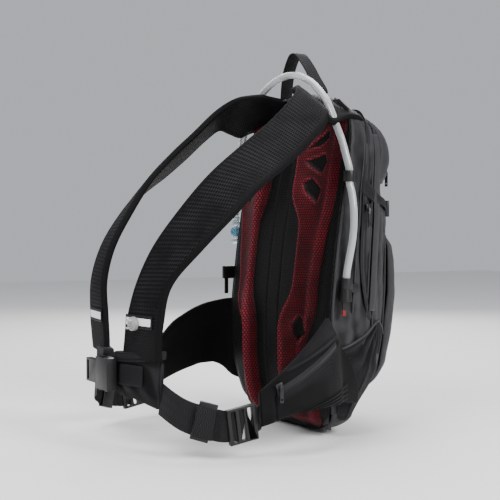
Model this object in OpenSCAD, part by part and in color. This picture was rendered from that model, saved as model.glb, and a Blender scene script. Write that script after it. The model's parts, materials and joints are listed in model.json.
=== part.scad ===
// Hydration pack: a zipped body with a foam back panel, two swinging harness
// halves joined by a chest buckle, and a drinking hose with a bite valve.
// The base stands at z = 0, the wearer stands on the -Y side and +X is the wearer's left.

/* [Pack body] */
// Width across the side seams
body_w = 252; // [200:1:310]
// Height from the base to the top seam
body_h = 450; // [360:1:550]
// Depth of the main compartment beyond the back panel's mean plane
body_d = 92; // [75:1:112]
// Thickness of the main compartment's padded wall
wall = 2.6; // [1.5:0.1:4]
// Thickness of the stiff sheet behind the foam
sheet_t = 2.4; // [1.5:0.1:4]
// How far the lower front pocket stands off the main compartment
pocket_d = 19; // [10:1:28]
// Thickness of the stretch pockets' fabric
stretch_t = 2.4; // [1.5:0.1:4]
// Clear space between neighbouring sewn pieces
gap = 0.4; // [0.3:0.1:0.8]

/* [Base] */
// Width of the flat base panel
base_w = 170; // [130:1:180]
// Depth of the flat base panel
base_d = 40; // [30:1:46]
// Thickness of the flat base panel
base_t = 3; // [2:0.5:5]

/* [Back pads] */
// Height of the foam's tall ridge
ridge_h = 28; // [16:1:34]
// Height of the foam's outer ridge
outer_ridge_h = 11; // [7:1:15]
// Width of the open air channel between the pads
channel_w = 26; // [16:1:40]

/* [Harness] */
// Thickness of the shoulder straps
strap_t = 10; // [6:1:14]
// Thickness of the padded hip wings
wing_t = 10; // [6:1:14]
// Radius of the hip wings' curve
wing_r = 122; // [110:1:140]
// Width of the belt webbing
web_w = 38; // [25:1:42]
// Thickness of all webbing
web_t = 1.8; // [1.2:0.1:2.6]
// Width of the chest band
band_w = 26; // [20:1:30]
// Thickness of the chest patches
patch_t = 3.6; // [2.4:0.2:5]

/* [Hardware] */
// Thickness of the ladder locks
lock_t = 7; // [5:0.5:9]
// Length of the ladder locks along the webbing
lock_l = 38; // [32:1:44]
// Height of the chest socket
socket_h = 40; // [34:1:46]
// Thickness of the chest socket
socket_t = 13; // [12:0.5:16]
// Length of the chest socket
socket_l = 36; // [32:1:42]
// Width of the haul loop's webbing
haul_w = 20; // [15:1:25]

/* [Hose] */
// Outer diameter of the drinking hose
hose_d = 9.5; // [8:0.1:11]
// Radial clearance between the hose and the rings that hold it
hose_clear = 0.4; // [0.3:0.1:0.6]

/* [Hidden] */

// The size at which the soft parts' points below are laid out.
layout_w = 252;
layout_h = 450;
// A soft part's point moves with the body's width and height.
function laid(p) = [p[0] * body_w / layout_w, p[1], p[2] * body_h / layout_h];
// The width and height that a laid-out place has moved by.
function place_x(x) = x * body_w / layout_w;
function place_z(z) = z * body_h / layout_h;

// ---- the body's section at each height: a D with its flat side on the back ----

// Height and place of the back seam plane; the top leans away from the wearer.
back_line = [[0, -16], [20, -30], [50, -38], [95, -45], [170, -45], [245, -37],
    [310, -27], [360, -17], [410, -10], [450, -3]];
// Height and half width at the side seams.
side_line = [[0, 88], [20, 104], [45, 114], [80, 121], [130, 125], [175, 126],
    [405, 124], [430, 112], [447, 84]];
// Height and place of the main compartment's outer face, as a share of body_d.
depth_line = [[0, 0.2], [20, 0.33], [45, 0.45], [60, 0.66], [80, 0.84], [130, 0.95],
    [190, 1], [260, 1], [295, 0.98], [326, 0.9], [374, 0.86], [400, 0.74],
    [414, 0.6], [432, 0.27], [447, 0.05]];
section_power = 2.6;
section_steps = 36;
// The section is drawn at every one of these heights that lies in a piece's range.
section_heights = [20, 45, 50, 60, 68, 80, 95, 130, 170, 190, 230, 245, 260, 295, 310,
    326, 345, 360, 374, 400, 410, 414, 430, 432];
shell_bottom = base_t;
shell_top = 447;
cavity_bottom = 10;
cavity_top = 430;

function back_y(z) = lookup(z, back_line);
function side_x(z) = lookup(z, side_line) * body_w / layout_w;
function front_y(z) = lookup(z, depth_line) * body_d;
function bent(v) = sign(v) * pow(abs(v), 2 / section_power);
// A point of the D section at angle a, moved outward by off; z is a laid-out height.
function shell_point(a, z, off) =
    let (yb = back_y(z) + sheet_t + gap,
         across = bent(cos(a)), out = bent(sin(a)))
    [(side_x(z) + off) * across, yb + (front_y(z) - yb + off) * out, place_z(z)];

function heights_between(low, high) =
    concat([low], [for (z = section_heights) if (z > low && z < high) z], [high]);

function spread(a, b, n) = [for (i = [0:n]) a + (b - a) * i / n];

// ---- solids from rings of points ----

function side_faces(rings, per) = concat(
    [for (i = [0:rings - 2], j = [0:per - 1])
        [i * per + j, (i + 1) * per + j, (i + 1) * per + (j + 1) % per]],
    [for (i = [0:rings - 2], j = [0:per - 1])
        [i * per + j, (i + 1) * per + (j + 1) % per, i * per + (j + 1) % per]]);
module loft(rings) {
    per = len(rings[0]);
    polyhedron([for (r = rings) each r], concat([[for (j = [0:per - 1]) j]],
        side_faces(len(rings), per),
        [[for (j = [per - 1:-1:0]) (len(rings) - 1) * per + j]]), convexity = 8);
}
// A panel's rings run out along one face and back along the other, so its two ends
// are closed by strips between the faces.
module panel_loft(rings) {
    per = len(rings[0]);
    last = (len(rings) - 1) * per;
    polyhedron([for (r = rings) each r], concat(side_faces(len(rings), per),
        [for (k = [0:per / 2 - 2]) [k, k + 1, per - 2 - k]],
        [for (k = [0:per / 2 - 2]) [k, per - 2 - k, per - 1 - k]],
        [for (k = [0:per / 2 - 2]) [last + k, last + per - 2 - k, last + k + 1]],
        [for (k = [0:per / 2 - 2]) [last + k, last + per - 1 - k, last + per - 2 - k]]),
        convexity = 8);
}

// A smooth curve through points, with steps pieces between each pair.
function spline_at(p, i, u) =
    let (n = len(p) - 1, a = p[max(i - 1, 0)], b = p[i], c = p[min(i + 1, n)],
         d = p[min(i + 2, n)])
    0.5 * (2 * b + (c - a) * u + (2 * a - 5 * b + 4 * c - d) * u * u
        + (3 * b - a - 3 * c + d) * u * u * u);
function spline(p, steps) = concat(
    [for (i = [0:len(p) - 2], k = [0:steps - 1]) spline_at(p, i, k / steps)],
    [p[len(p) - 1]]);
function unit(v) = v / norm(v);
function heading(p, i) = unit(p[min(i + 1, len(p) - 1)] - p[max(i - 1, 0)]);

// A band between two edge lines, thick t, its middle surface moved by off along
// the side that cross(across, along) points to.
function band_ring(a, b, i, t, off) =
    let (n = unit(cross(b[i] - a[i], heading((a + b) / 2, i))), e = unit(b[i] - a[i]),
         c = min(t * 0.3, 3), top = off + t / 2, low = off - t / 2)
    [a[i] + n * (top - c), a[i] + n * top + e * c, b[i] + n * top - e * c,
     b[i] + n * (top - c), b[i] + n * (low + c), b[i] + n * low - e * c,
     a[i] + n * low + e * c, a[i] + n * (low + c)];
module band(a, b, t, off = 0)
    loft([for (i = [0:len(a) - 1]) band_ring(a, b, i, t, off)]);

// The section's own angles between two of them, so that a panel lies on its facets.
function section_angles(low_a, high_a) = [for (a = [low_a:180 / section_steps:high_a]) a];
// A flat panel on the D surface between two angles and two heights.
module surface_panel(low_a, high_a, low, high, thickness) {
    angles = section_angles(low_a, high_a);
    steps = len(angles) - 1;
    panel_loft([for (z = heights_between(low, high)) concat(
        [for (a = angles) shell_point(a, z, gap + thickness)],
        [for (k = [steps:-1:0]) shell_point(angles[k], z, gap)])]);
}

// Puts a shape's X along one direction and its Y across; its Z points outward.
module facing(place, along, across) {
    x = unit(along);
    z = unit(cross(x, across));
    y = cross(z, x);
    multmatrix([[x[0], y[0], z[0], place[0]], [x[1], y[1], z[1], place[1]],
                [x[2], y[2], z[2], place[2]]]) children();
}
module block(size) translate(-size / 2) cube(size);
module other_side(right) mirror([right ? 1 : 0, 0, 0]) children();

// ---- pack body ----

module base_panel() color("black")
    translate([-base_w / 2, -base_d / 2, 0]) cube([base_w, base_d, base_t]);

module shell_solid(low, high, off) {
    loft([for (z = heights_between(low, high)) [for (a = spread(0, 180, section_steps))
        shell_point(a, z, off)]]);
}
module main_shell() color([0.09, 0.09, 0.1]) difference() {
    shell_solid(shell_bottom * layout_h / body_h, shell_top, 0);
    shell_solid(cavity_bottom, cavity_top, -wall);
    cavity_mouth();
}
// The cavity runs through the section's flat side, so that the sheet closes it.
module cavity_mouth() {
    heights = [cavity_bottom, 20, 50, 95, 170, 245, 310, 360, 410, cavity_top];
    loft([for (z = heights) let (w = side_x(z) - wall - 2, y = back_y(z) + sheet_t)
        [[w, y - 3, place_z(z)], [w, y + 3, place_z(z)], [-w, y + 3, place_z(z)],
         [-w, y - 3, place_z(z)]]]);
}

module back_layer(low, high, edge_in, front_off, t) {
    heights = [for (z = [low, 20, 50, 95, 132, 170, 208, 245, 278, 310, 335, 360, 410,
        430, high]) if (z >= low && z <= high) z];
    loft([for (z = heights) let (w = side_x(z) - edge_in, y = back_y(z) + front_off)
        [[w, y, place_z(z)], [w, y + t, place_z(z)], [-w, y + t, place_z(z)],
         [-w, y, place_z(z)]]]);
}
module frame_sheet() color("dimgray") back_layer(8, 444, 3, 0, sheet_t);
mesh_t = 1.4;
module back_mesh() color("black")
    back_layer(10, 440, 2, -gap - mesh_t, mesh_t);

// Height, crest place, crest height as a share of ridge_h, and outer edge of a pad.
pad_line = [[14, 40, 0.45, 58], [20, 43, 0.65, 66], [32, 46, 0.9, 80], [50, 46, 0.98, 94],
    [72, 46, 1, 102], [95, 46, 1, 106], [132, 47, 1, 105], [152, 48, 0.97, 104],
    [170, 53, 0.82, 103], [190, 59, 0.64, 102], [210, 62, 0.57, 103], [245, 62, 0.57, 108],
    [285, 58, 0.62, 113], [310, 48, 0.84, 117], [345, 45, 0.9, 117], [360, 45, 0.9, 117],
    [385, 45, 0.83, 116], [410, 42, 0.6, 112], [424, 38, 0.25, 92]];
function pad_ring(p) =
    let (z = place_z(p[0]), y = back_y(p[0]) - 2 * gap - mesh_t, in = channel_w / 2,
         crest = place_x(p[1]), edge = place_x(p[3]), tall = p[2] * ridge_h,
         outer = outer_ridge_h * min(1, p[2] + 0.1), mid = (crest + edge) / 2)
    [[in, y, z], [in + 1, y - tall * 0.32, z], [crest - 14, y - tall * 0.42, z],
     [crest - 5, y - tall * 0.95, z], [crest + 3, y - tall, z],
     [crest + 12, y - tall * 0.6, z], [mid + 4, y - outer * 0.8, z],
     [edge - 10, y - outer, z], [edge - 2, y - outer * 0.5, z], [edge, y, z]];
module back_pad(right) color("darkred") other_side(right)
    loft([for (p = pad_line) pad_ring(p)]);

upper_crown = [[336, 1.5], [345, 7.5], [360, 11.5], [374, 13], [400, 11.5], [410, 8],
    [418, 2]];
module upper_pocket() color([0.12, 0.12, 0.13]) raised_panel(30, 150, upper_crown);
// A pocket's edge stands this far off the main compartment.
panel_lift = gap + 1.2;
// A crowned panel between two angles; crown lists heights and how far it stands off.
module raised_panel(low_a, high_a, crown) {
    angles = section_angles(low_a, high_a);
    steps = len(angles) - 1;
    function swell(k) = 0.16 + 0.84 * sqrt(sin(180 * k / steps));
    panel_loft([for (z = heights_between(crown[0][0], crown[len(crown) - 1][0])) concat(
        [for (k = [0:steps])
            shell_point(angles[k], z, panel_lift + lookup(z, crown) * swell(k))],
        [for (k = [steps:-1:0]) shell_point(angles[k], z, gap)])]);
}
module front_pocket() color([0.14, 0.14, 0.15]) {
    crown = [for (c = [[58, 0.15], [68, 0.55], [80, 0.75], [95, 0.9], [130, 1],
        [190, 1.08], [230, 1], [245, 0.8], [260, 0.2]]) [c[0], c[1] * pocket_d]];
    raised_panel(50, 130, crown);
}
module side_pocket(right) color([0.3, 0.3, 0.32]) other_side(right)
    surface_panel(10, 50, 30, 132, stretch_t);

// The strap's first stretch, which is sewn over the pack's top edge.
root_inner = [[28, -10, 461], [31, -20, 464], [34, -30, 465]];
root_outer = [[87, -10, 428], [90, -20, 430], [92, -30, 431]];
module strap_root(right) color([0.1, 0.1, 0.11]) other_side(right)
    band([for (p = root_inner) laid(p)], [for (p = root_outer) laid(p)], strap_t);

port_z = 205;
port_x = side_x(port_z) + 1;
hose_x = port_x + hose_d / 2 + 1.5;
port_floor_gap = 0.6;
module hose_port() color([0.1, 0.1, 0.11]) difference() {
    translate([hose_x, -25, place_z(port_z) - 9])
        cylinder(h = 14, r = hose_d / 2 + 3, $fn = 48);
    translate([hose_x, -25, place_z(port_z) - 4 - port_floor_gap])
        cylinder(h = 20, r = hose_d / 2 + hose_clear, $fn = 48);
    translate([hose_x - 20 - hose_d / 2 - 1, -50, place_z(port_z) - 20])
        cube([20, 50, 40]);
}
module port_tab() color("gray")
    translate([hose_x - 6, -25 + hose_d / 2 + 3.5, place_z(port_z) - 14])
        cube([2, 14, 11]);
side_clip_z = 340;
side_clip_y = -21;
// The elastic clip is looser than the port, because the hose bends through it.
clip_slack = hose_clear + 0.9;
module side_hose_clip() color("black")
    translate([hose_x, side_clip_y, place_z(side_clip_z) - 7]) difference() {
        cylinder(h = 14, r = hose_d / 2 + clip_slack + 1.6, $fn = 48);
        translate([0, 0, -1]) cylinder(h = 16, r = hose_d / 2 + clip_slack, $fn = 48);
    }

module compression_strap(right) color("black") other_side(right)
    surface_panel(20, 55, 312, 332, 2);
module compression_buckle(right) color([0.15, 0.15, 0.16]) other_side(right) {
    spot = shell_point(60, 300, gap + 4);
    facing(spot, shell_point(66, 300, 0) - shell_point(54, 300, 0), [0, 0, 1])
        difference() {
            block([26, 22, 5]);
            translate([8, 0, 0]) block([3, 16, 9]);
            translate([-8, 0, 0]) block([3, 16, 9]);
        }
}

// The filled water bladder and the bar that closes its mouth.
reservoir_w = 164;
reservoir_t = 34;
module reservoir() color([0.75, 0.85, 0.95]) {
    profile = [[40, 0.35], [52, 0.8], [80, 1], [150, 1], [240, 1], [320, 0.9],
        [356, 0.6], [368, 0.3]];
    loft([for (c = profile) let (z = place_z(c[0]), back = back_y(c[0]) + sheet_t + 2,
        w = place_x(reservoir_w) / 2 * (0.9 + 0.1 * c[1]), t = reservoir_t * c[1])
        [[w, back + t * 0.3, z], [w, back + t * 0.7, z], [w * 0.8, back + t, z],
         [-w * 0.8, back + t, z], [-w, back + t * 0.7, z], [-w, back + t * 0.3, z],
         [-w * 0.8, back, z], [w * 0.8, back, z]]]);
}
bar_z = 376;
module reservoir_bar() color("royalblue")
    translate([0, back_y(bar_z) + sheet_t + 8, place_z(bar_z)])
        block([place_x(reservoir_w) + 4, 9, 12]);

inner_route = [[83, -4, 58], [92, -3, 61], [101, -4, 74], [108, -8, 100],
    [110, -14, 140], [110, -20, 175], [112, -24, 200]];

// The zip runs up one side, over the top and down the other side.
zip_half = [[24, 156], [19, 180], [15, 215], [13.6, 250], [13.2, 290], [13, 330],
    [12.5, 365], [14, 392], [20, 411], [32, 422], [50, 427], [70, 428.5]];
zip_w = 12;
zip_t = 1.4;
// The flat tape bridges the rounded corner, so its middle stands further off.
zip_lift = gap + 0.7;
module main_zip_tape() color("black") {
    right_half = [for (k = [len(zip_half) - 1:-1:0])
        [180 - zip_half[k][0], zip_half[k][1]]];
    path = spline(concat(zip_half, [[90, 429]], right_half), 2);
    mid = [for (p = path) shell_point(p[0], p[1], zip_lift + zip_t / 2)];
    ring = [for (i = [0:len(path) - 1]) let (along = heading(mid, i),
        n = unit(shell_point(path[i][0], path[i][1], 10) - shell_point(path[i][0],
            path[i][1], 0)), e = unit(cross(along, n)))
        [mid[i] + e * zip_w / 2 + n * zip_t / 2, mid[i] - e * zip_w / 2 + n * zip_t / 2,
         mid[i] - e * zip_w / 2 - n * zip_t / 2, mid[i] + e * zip_w / 2 - n * zip_t / 2]];
    loft(ring);
}
// A zip slider: a body with a short pull hanging from its bridge.
module slider_body() {
    block([9, 8, 3.4]);
    translate([0, 0, 2.2]) block([5, 3, 1.6]);
}
module pull_tab(length) translate([length / 2 - 1, 0, 0]) difference() {
    block([length, 5, 1.6]);
    translate([length / 2 - 4, 0, 0]) cylinder(h = 4, r = 1.3, center = true, $fn = 24);
}
slider_z = 300;
// A slider's middle is this far above the surface it runs on.
slider_lift = 3.4;
module main_slider(right) color("dimgray") other_side(right)
    translate(shell_point(13.2, slider_z, zip_lift + zip_t + slider_lift)) rotate([0, 90, 0]) {
        slider_body();
        translate([2, 0, 3.7]) pull_tab(24);
    }
pocket_zip_z = 352;
module pocket_slider() color("dimgray") {
    spot = shell_point(70, pocket_zip_z, panel_lift + lookup(pocket_zip_z, upper_crown)
        + slider_lift);
    translate(spot) rotate([-90, 0, 0]) {
        slider_body();
        translate([0, 2, 3.7]) rotate([0, 0, 90]) pull_tab(20);
    }
}

// The gear loop lies on the slope under the front pocket.
loop_rise = 7;
module bottom_loop() color("black") {
    across = shell_point(98, 47, 0) - shell_point(110, 47, 0);
    foot = shell_point(104, 41, 0);
    head = shell_point(104, 53, 0);
    out = unit(cross(head - foot, across));
    facing((foot + head) / 2 + out * (loop_rise + gap), across, head - foot)
        difference() {
            block([20, 12, 2 * loop_rise]);
            block([24, 8.4, 2 * loop_rise - 3.6]);
        }
}
module side_tab_right() color("black") {
    translate([-side_x(209) - gap - 2, -45, place_z(209)]) block([4, 30, 18]);
    translate([-side_x(209) - gap - 2, -54, place_z(209) - 20]) block([2, 6, 22.2]);
}
haul_base = [place_x(45), -3, place_z(450) + 12.5];
haul_rise = 52;
haul_lean = -10;
module haul_loop() color("black") {
    half = [haul_base, haul_base + [-20, haul_lean * 0.5, haul_rise * 0.55],
        [6, haul_base[1] + haul_lean, haul_base[2] + haul_rise * 0.97]];
    path = spline(concat(half, [[0, haul_base[1] + haul_lean, haul_base[2] + haul_rise]],
        [for (k = [2:-1:0]) [-half[k][0], half[k][1], half[k][2]]]), 3);
    side = [0, haul_w / 2, 0];
    band([for (p = path) p - side], [for (p = path) p + side], web_t + 1);
}

// ---- drinking hose: it leaves the port, passes the side clip, crosses both strap
// roots above the pack and hangs down the far side to the bite valve ----
hose_route = [[hose_x, -25, place_z(port_z) - 4], [hose_x, -25, place_z(215)],
    [place_x(136), -23, place_z(235)], [place_x(141), -21, place_z(262)],
    [place_x(142), -20, place_z(290)], [place_x(138), -20, place_z(316)],
    [hose_x, side_clip_y, place_z(332)], [hose_x, side_clip_y, place_z(348)],
    [place_x(130), -24, place_z(366)], [place_x(125), -27, place_z(386)],
    [place_x(118), -30, place_z(404)], [place_x(110), -31, place_z(420)],
    [place_x(98), -31, place_z(437)], [place_x(83), -31, place_z(451)],
    [place_x(64), -30, place_z(464)], [place_x(43), -29, place_z(474)],
    [place_x(22), -28, place_z(480)], [0, -27, place_z(483)],
    [place_x(-24), -27, place_z(481)], [place_x(-48), -28, place_z(474)],
    [place_x(-70), -29, place_z(463)], [place_x(-89), -30, place_z(449)],
    [place_x(-104), -30, place_z(432)], [place_x(-116), -30, place_z(412)],
    [place_x(-126), -30, place_z(389)], [place_x(-134), -30, place_z(362)],
    [place_x(-140), -30, place_z(334)], [place_x(-142), -30, place_z(310)],
    [place_x(-142), -30, place_z(292)]];
hose_steps = 2;
hose_sides = 10;
module hose_sweep(path, d) {
    up = [0.31, -0.94, 0.13];
    loft([for (i = [0:len(path) - 1])
        let (t = heading(path, i), u = unit(cross(t, up)), v = cross(t, u))
        [for (k = [0:hose_sides - 1]) path[i] + d / 2 * (cos(360 * k / hose_sides) * u
            + sin(360 * k / hose_sides) * v)]]);
}
module hose_tube() color([0.8, 0.84, 0.86]) hose_sweep(spline(hose_route, hose_steps), hose_d);
module inner_hose() color([0.8, 0.84, 0.86])
    hose_sweep(spline([for (p = inner_route) laid(p)], 3), 8);

valve_top = [place_x(-142), -30, place_z(292)];
valve_ring_z = -18;
valve_ring_h = 13;
// The clear connector, the valve's spindle and the mouthpiece below the ring.
module valve_body() color([0.7, 0.8, 0.9]) translate(valve_top) {
    translate([0, 0, -14]) cylinder(h = 14, r = 6, $fn = 48);
    translate([0, 0, -36]) cylinder(h = 24, r = 3.6, $fn = 48);
    translate([0, 0, -42]) cylinder(h = 8, r1 = 5.4, r2 = 6.4, $fn = 48);
}
module valve_ring() color("dodgerblue")
    translate(valve_top + [0, 0, valve_ring_z - valve_ring_h + 1]) difference() {
        union() {
            cylinder(h = valve_ring_h, r = 7.6, $fn = 48);
            translate([0, -7.4, valve_ring_h / 2]) block([3, 3.6, valve_ring_h - 2]);
        }
        translate([0, 0, -1]) cylinder(h = valve_ring_h + 2, r = 3.9, $fn = 48);
    }

// ---- harness ----

// The shoulder strap's inner and outer edges, from the pack's top to the chest.
strap_inner = [[42, -50, 465], [74, -64, 459], [98, -84, 440], [102, -118, 408],
    [97, -153, 379], [86, -196, 340], [74, -230, 298], [62, -262, 250],
    [50, -279, 204], [34, -284, 160], [28, -285, 131]];
strap_outer = [[112, -50, 425], [141, -60, 420], [161, -76, 402], [166, -106, 374],
    [167, -138, 348], [168, -174, 322], [163, -206, 290], [146, -240, 250],
    [118, -267, 206], [107, -273, 160], [102, -273, 131]];
strap_steps = 2;
strap_a = spline([for (p = strap_inner) laid(p)], strap_steps);
strap_b = spline([for (p = strap_outer) laid(p)], strap_steps);
module shoulder_strap(right) color([0.1, 0.1, 0.11]) other_side(right)
    band(strap_a, strap_b, strap_t);
// A point of the chest end of the strap at height z, share s of the way outward.
function chest_line(s, z) =
    let (a = [lookup(z, [[62, 24], [131, 28], [160, 34]]),
              lookup(z, [[62, -288], [131, -285], [160, -284]])],
         b = [lookup(z, [[62, 130], [108, 130], [131, 102], [160, 107]]),
              lookup(z, [[62, -258], [108, -258], [131, -273], [160, -273]])])
    [(a[0] + (b[0] - a[0]) * s) * body_w / layout_w, a[1] + (b[1] - a[1]) * s,
     place_z(z)];
module reflective_band(right) color("white") other_side(right)
    band([for (z = [149, 160, 171]) chest_line(-0.02, z)],
         [for (z = [149, 160, 171]) chest_line(1.02, z)], 1.2, strap_t / 2 + gap + 0.8);

// The hip wing is a curved band around the wearer's side.
wing_centre = [48 * body_w / layout_w, -121];
wing_flare = 0.1;
wing_mid_z = 100;
function wing_point(y, z, off) =
    [wing_centre[0] + sqrt(pow(wing_r + off, 2) - pow(y - wing_centre[1], 2))
        + wing_flare * (wing_mid_z - z), y, place_z(z)];
// Place along the wing, then the heights of its lower and upper edge.
wing_line = [[-40, 54, 156], [-50, 52, 160], [-62, 52, 162], [-76, 53, 158],
    [-90, 52, 151], [-106, 50, 140], [-122, 47, 127], [-138, 42, 112], [-152, 38, 96],
    [-162, 35, 82], [-170, 35, 74]];
module wing(right) color([0.16, 0.16, 0.17]) other_side(right)
    loft([for (w = wing_line) let (t = wing_t / 2 * (w[0] < -150 ? 0.8 : 1),
        low = w[1], high = w[2], part = (high - low) / 4)
        [for (s = [0:8]) s < 5 ? wing_point(w[0], low + part * s, t * (s == 0 || s == 4 ?
            0.5 : 1)) : wing_point(w[0], high - part * (s - 4), s == 8 ? -t * 0.5 : -t),
         wing_point(w[0], low, -t * 0.5)]]);
// The wing's zip falls towards the front; its slider follows the same line.
wing_zip_rear = [-60, 130];
wing_zip_front = [-160, 82];
function wing_zip(s, off) = wing_point(wing_zip_rear[0] + (wing_zip_front[0]
    - wing_zip_rear[0]) * s, wing_zip_rear[1] + (wing_zip_front[1]
    - wing_zip_rear[1]) * s, off);
slider_gap = 0.8;
slider_share = 0.92;
function wing_slider_at() = wing_zip(slider_share, wing_t / 2 + slider_gap + 1.7);
module wing_slider(right) color("dimgray") other_side(right)
    facing(wing_slider_at(), wing_zip(slider_share, 0) - wing_zip(slider_share - 0.08, 0),
        [0, 0, 1]) mirror([0, 0, 1]) slider_body();
module wing_pull(right) color("gray") other_side(right) {
    spot = wing_zip(slider_share, wing_t / 2 + slider_gap + 1.7 + 4.6);
    facing(spot, [0, 0, -1], wing_zip(0.5, 0) - wing_zip(slider_share, 0)) pull_tab(20);
}

// The belt's lock, keeper and webbing follow this line to the chest patch.
lock_pivot = laid([157, -172, 45]);
lock_far = laid([154, -212, 38]);
web_route = [laid([152.6, -218, 41.4]), laid([149, -222, 42]), laid([142, -236, 46]),
    laid([135, -250, 51]), laid([127, -259, 57]), laid([116, -267, 66]),
    laid([104, -272, 76])];
keeper_at = laid([142, -236, 46.5]);
keeper_l = 22;
web_lean = [0.1, 0.12, 1];
module webbing(right) color("black") other_side(right) {
    line = spline(web_route, 2);
    half = unit(web_lean) * web_w / 2;
    band([for (p = line) p - half], [for (p = line) p + half], web_t);
}
module lock_frame(length, width, t, bars) difference() {
    block([length, width, t]);
    for (x = bars) translate([x, 0, 0]) block([6, width - 6, t + 2]);
}
module ladder_lock(right) color([0.14, 0.14, 0.15]) other_side(right)
    facing((lock_pivot + lock_far) / 2, lock_far - lock_pivot, web_lean) {
        lock_frame(lock_l, web_w + 6, lock_t, [-11, 0, 11]);
    }
module keeper(right) color([0.14, 0.14, 0.15]) other_side(right)
    facing(keeper_at, web_route[3] - web_route[1], web_lean) difference() {
        block([keeper_l, web_w + 8, web_t + 5.6]);
        block([keeper_l + 2, web_w + 2.4, web_t + 2.4]);
    }

module chest_patch(right) color([0.1, 0.1, 0.11]) other_side(right)
    band([for (z = [64, 86, 108, 130.4]) chest_line(z > 100 ? 0 : 0.1, z)],
         [for (z = [64, 86, 108, 130.4]) chest_line(z < 70 ? 0.72 : 0.98, z)], patch_t);
band_mid_z = 93;
function band_point(s, z) = chest_line(s, z) + [0, -(patch_t / 2 + gap + web_t / 2 + 0.5), 0];
module front_band(right) color("black") other_side(right) {
    shares = right ? [0.14, 0.25, 0.4, 0.6] : [0.05, 0.2, 0.4, 0.6];
    low = band_mid_z - band_w / 2;
    band([for (s = shares) band_point(s, low)],
         [for (s = shares) band_point(s, low + band_w)], web_t);
}

// The chest buckle: the plug's two prongs lock in the socket's windows.
buckle_y = -303;
buckle_z = place_z(band_mid_z);
socket_x = -9;
socket_wall = 3;
cavity_h = socket_h - 2 * socket_wall;
cavity_t = socket_t - 4;
window_l = 14;
module chest_socket() color([0.13, 0.13, 0.14])
    translate([socket_x, buckle_y, buckle_z]) difference() {
        translate([socket_l / 2, 0, 0]) block([socket_l, socket_t, socket_h]);
        translate([(socket_l - 8) / 2 - 1, 0, 0]) block([socket_l - 6, cavity_t, cavity_h]);
        translate([7 + window_l / 2, 0, 0]) block([window_l, cavity_t - 1, socket_h + 2]);
    }
plug_w = 30;
plug_l = 34;
plug_gap = 3;
module chest_plug() color([0.13, 0.13, 0.14])
    translate([socket_x - plug_gap, buckle_y, buckle_z]) {
        difference() {
            translate([-plug_l / 2, 0, 0]) block([plug_l, 8, plug_w]);
            translate([-plug_l + 6, 0, 0]) block([5, 10, plug_w - 6]);
        }
        translate([9, 0, 0]) block([18, 3.6, 7]);
    }
prong_root = [1, 0, 11];
module prong(lower) color([0.13, 0.13, 0.14])
    translate([socket_x - plug_gap, buckle_y, buckle_z]) mirror([0, 0, lower ? 1 : 0])
        translate(prong_root) {
            translate([10.5, 0, 0]) block([20, 3.6, 4.4]);
            translate([14, 0, 4]) block([8, 3.6, 6]);
        }

// The clip that holds the hose on the left strap turns on its base.
clip_s = 0.36;
clip_z = 158;
clip_n = [0.155, -0.988, 0.006];
module strap_hose_clip() color([0.55, 0.55, 0.57])
    facing(chest_line(clip_s, clip_z) + unit(clip_n) * (strap_t / 2 + gap + 2.2),
        [0, 0, 1], cross(clip_n, [0, 0, 1])) {
            cylinder(h = 5, r = 8.5, $fn = 48);
            translate([0, 0, 5]) difference() {
                cylinder(h = 6, r = 6, $fn = 48);
                translate([0, 0, 4]) block([hose_d - 2, 20, 6]);
            }
        }

base_panel();
main_shell();
frame_sheet();
back_mesh();
back_pad(false);  // back_pad_left
back_pad(true);  // back_pad_right
upper_pocket();
front_pocket();
side_pocket(false);  // side_pocket_left
side_pocket(true);  // side_pocket_right
strap_root(false);  // strap_root_left
strap_root(true);  // strap_root_right
hose_port();
port_tab();
side_hose_clip();
compression_strap(false);  // compression_strap_left
compression_strap(true);  // compression_strap_right
compression_buckle(false);  // compression_buckle_left
compression_buckle(true);  // compression_buckle_right
reservoir();
reservoir_bar();
inner_hose();
main_zip_tape();
main_slider(false);  // main_slider_left
main_slider(true);  // main_slider_right
pocket_slider();
bottom_loop();
side_tab_right();
haul_loop();
hose_tube();
valve_body();
valve_ring();
shoulder_strap(false);  // shoulder_strap_left
shoulder_strap(true);  // shoulder_strap_right
wing(false);  // wing_left
wing(true);  // wing_right
webbing(false);  // webbing_left
webbing(true);  // webbing_right
chest_patch(false);  // chest_patch_left
chest_patch(true);  // chest_patch_right
front_band(false);  // front_band_left
front_band(true);  // front_band_right
reflective_band(false);  // reflective_band_left
reflective_band(true);  // reflective_band_right
ladder_lock(false);  // ladder_lock_left
ladder_lock(true);  // ladder_lock_right
keeper(false);  // keeper_left
keeper(true);  // keeper_right
wing_slider(false);  // wing_slider_left
wing_slider(true);  // wing_slider_right
wing_pull(false);  // wing_pull_left
wing_pull(true);  // wing_pull_right
strap_hose_clip();
chest_socket();
chest_plug();
prong(false);  // prong_upper
prong(true);  // prong_lower
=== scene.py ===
"""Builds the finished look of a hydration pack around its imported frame."""

import json
import math

import bpy
import numpy as np
from mathutils import Matrix, Vector, noise

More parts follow.
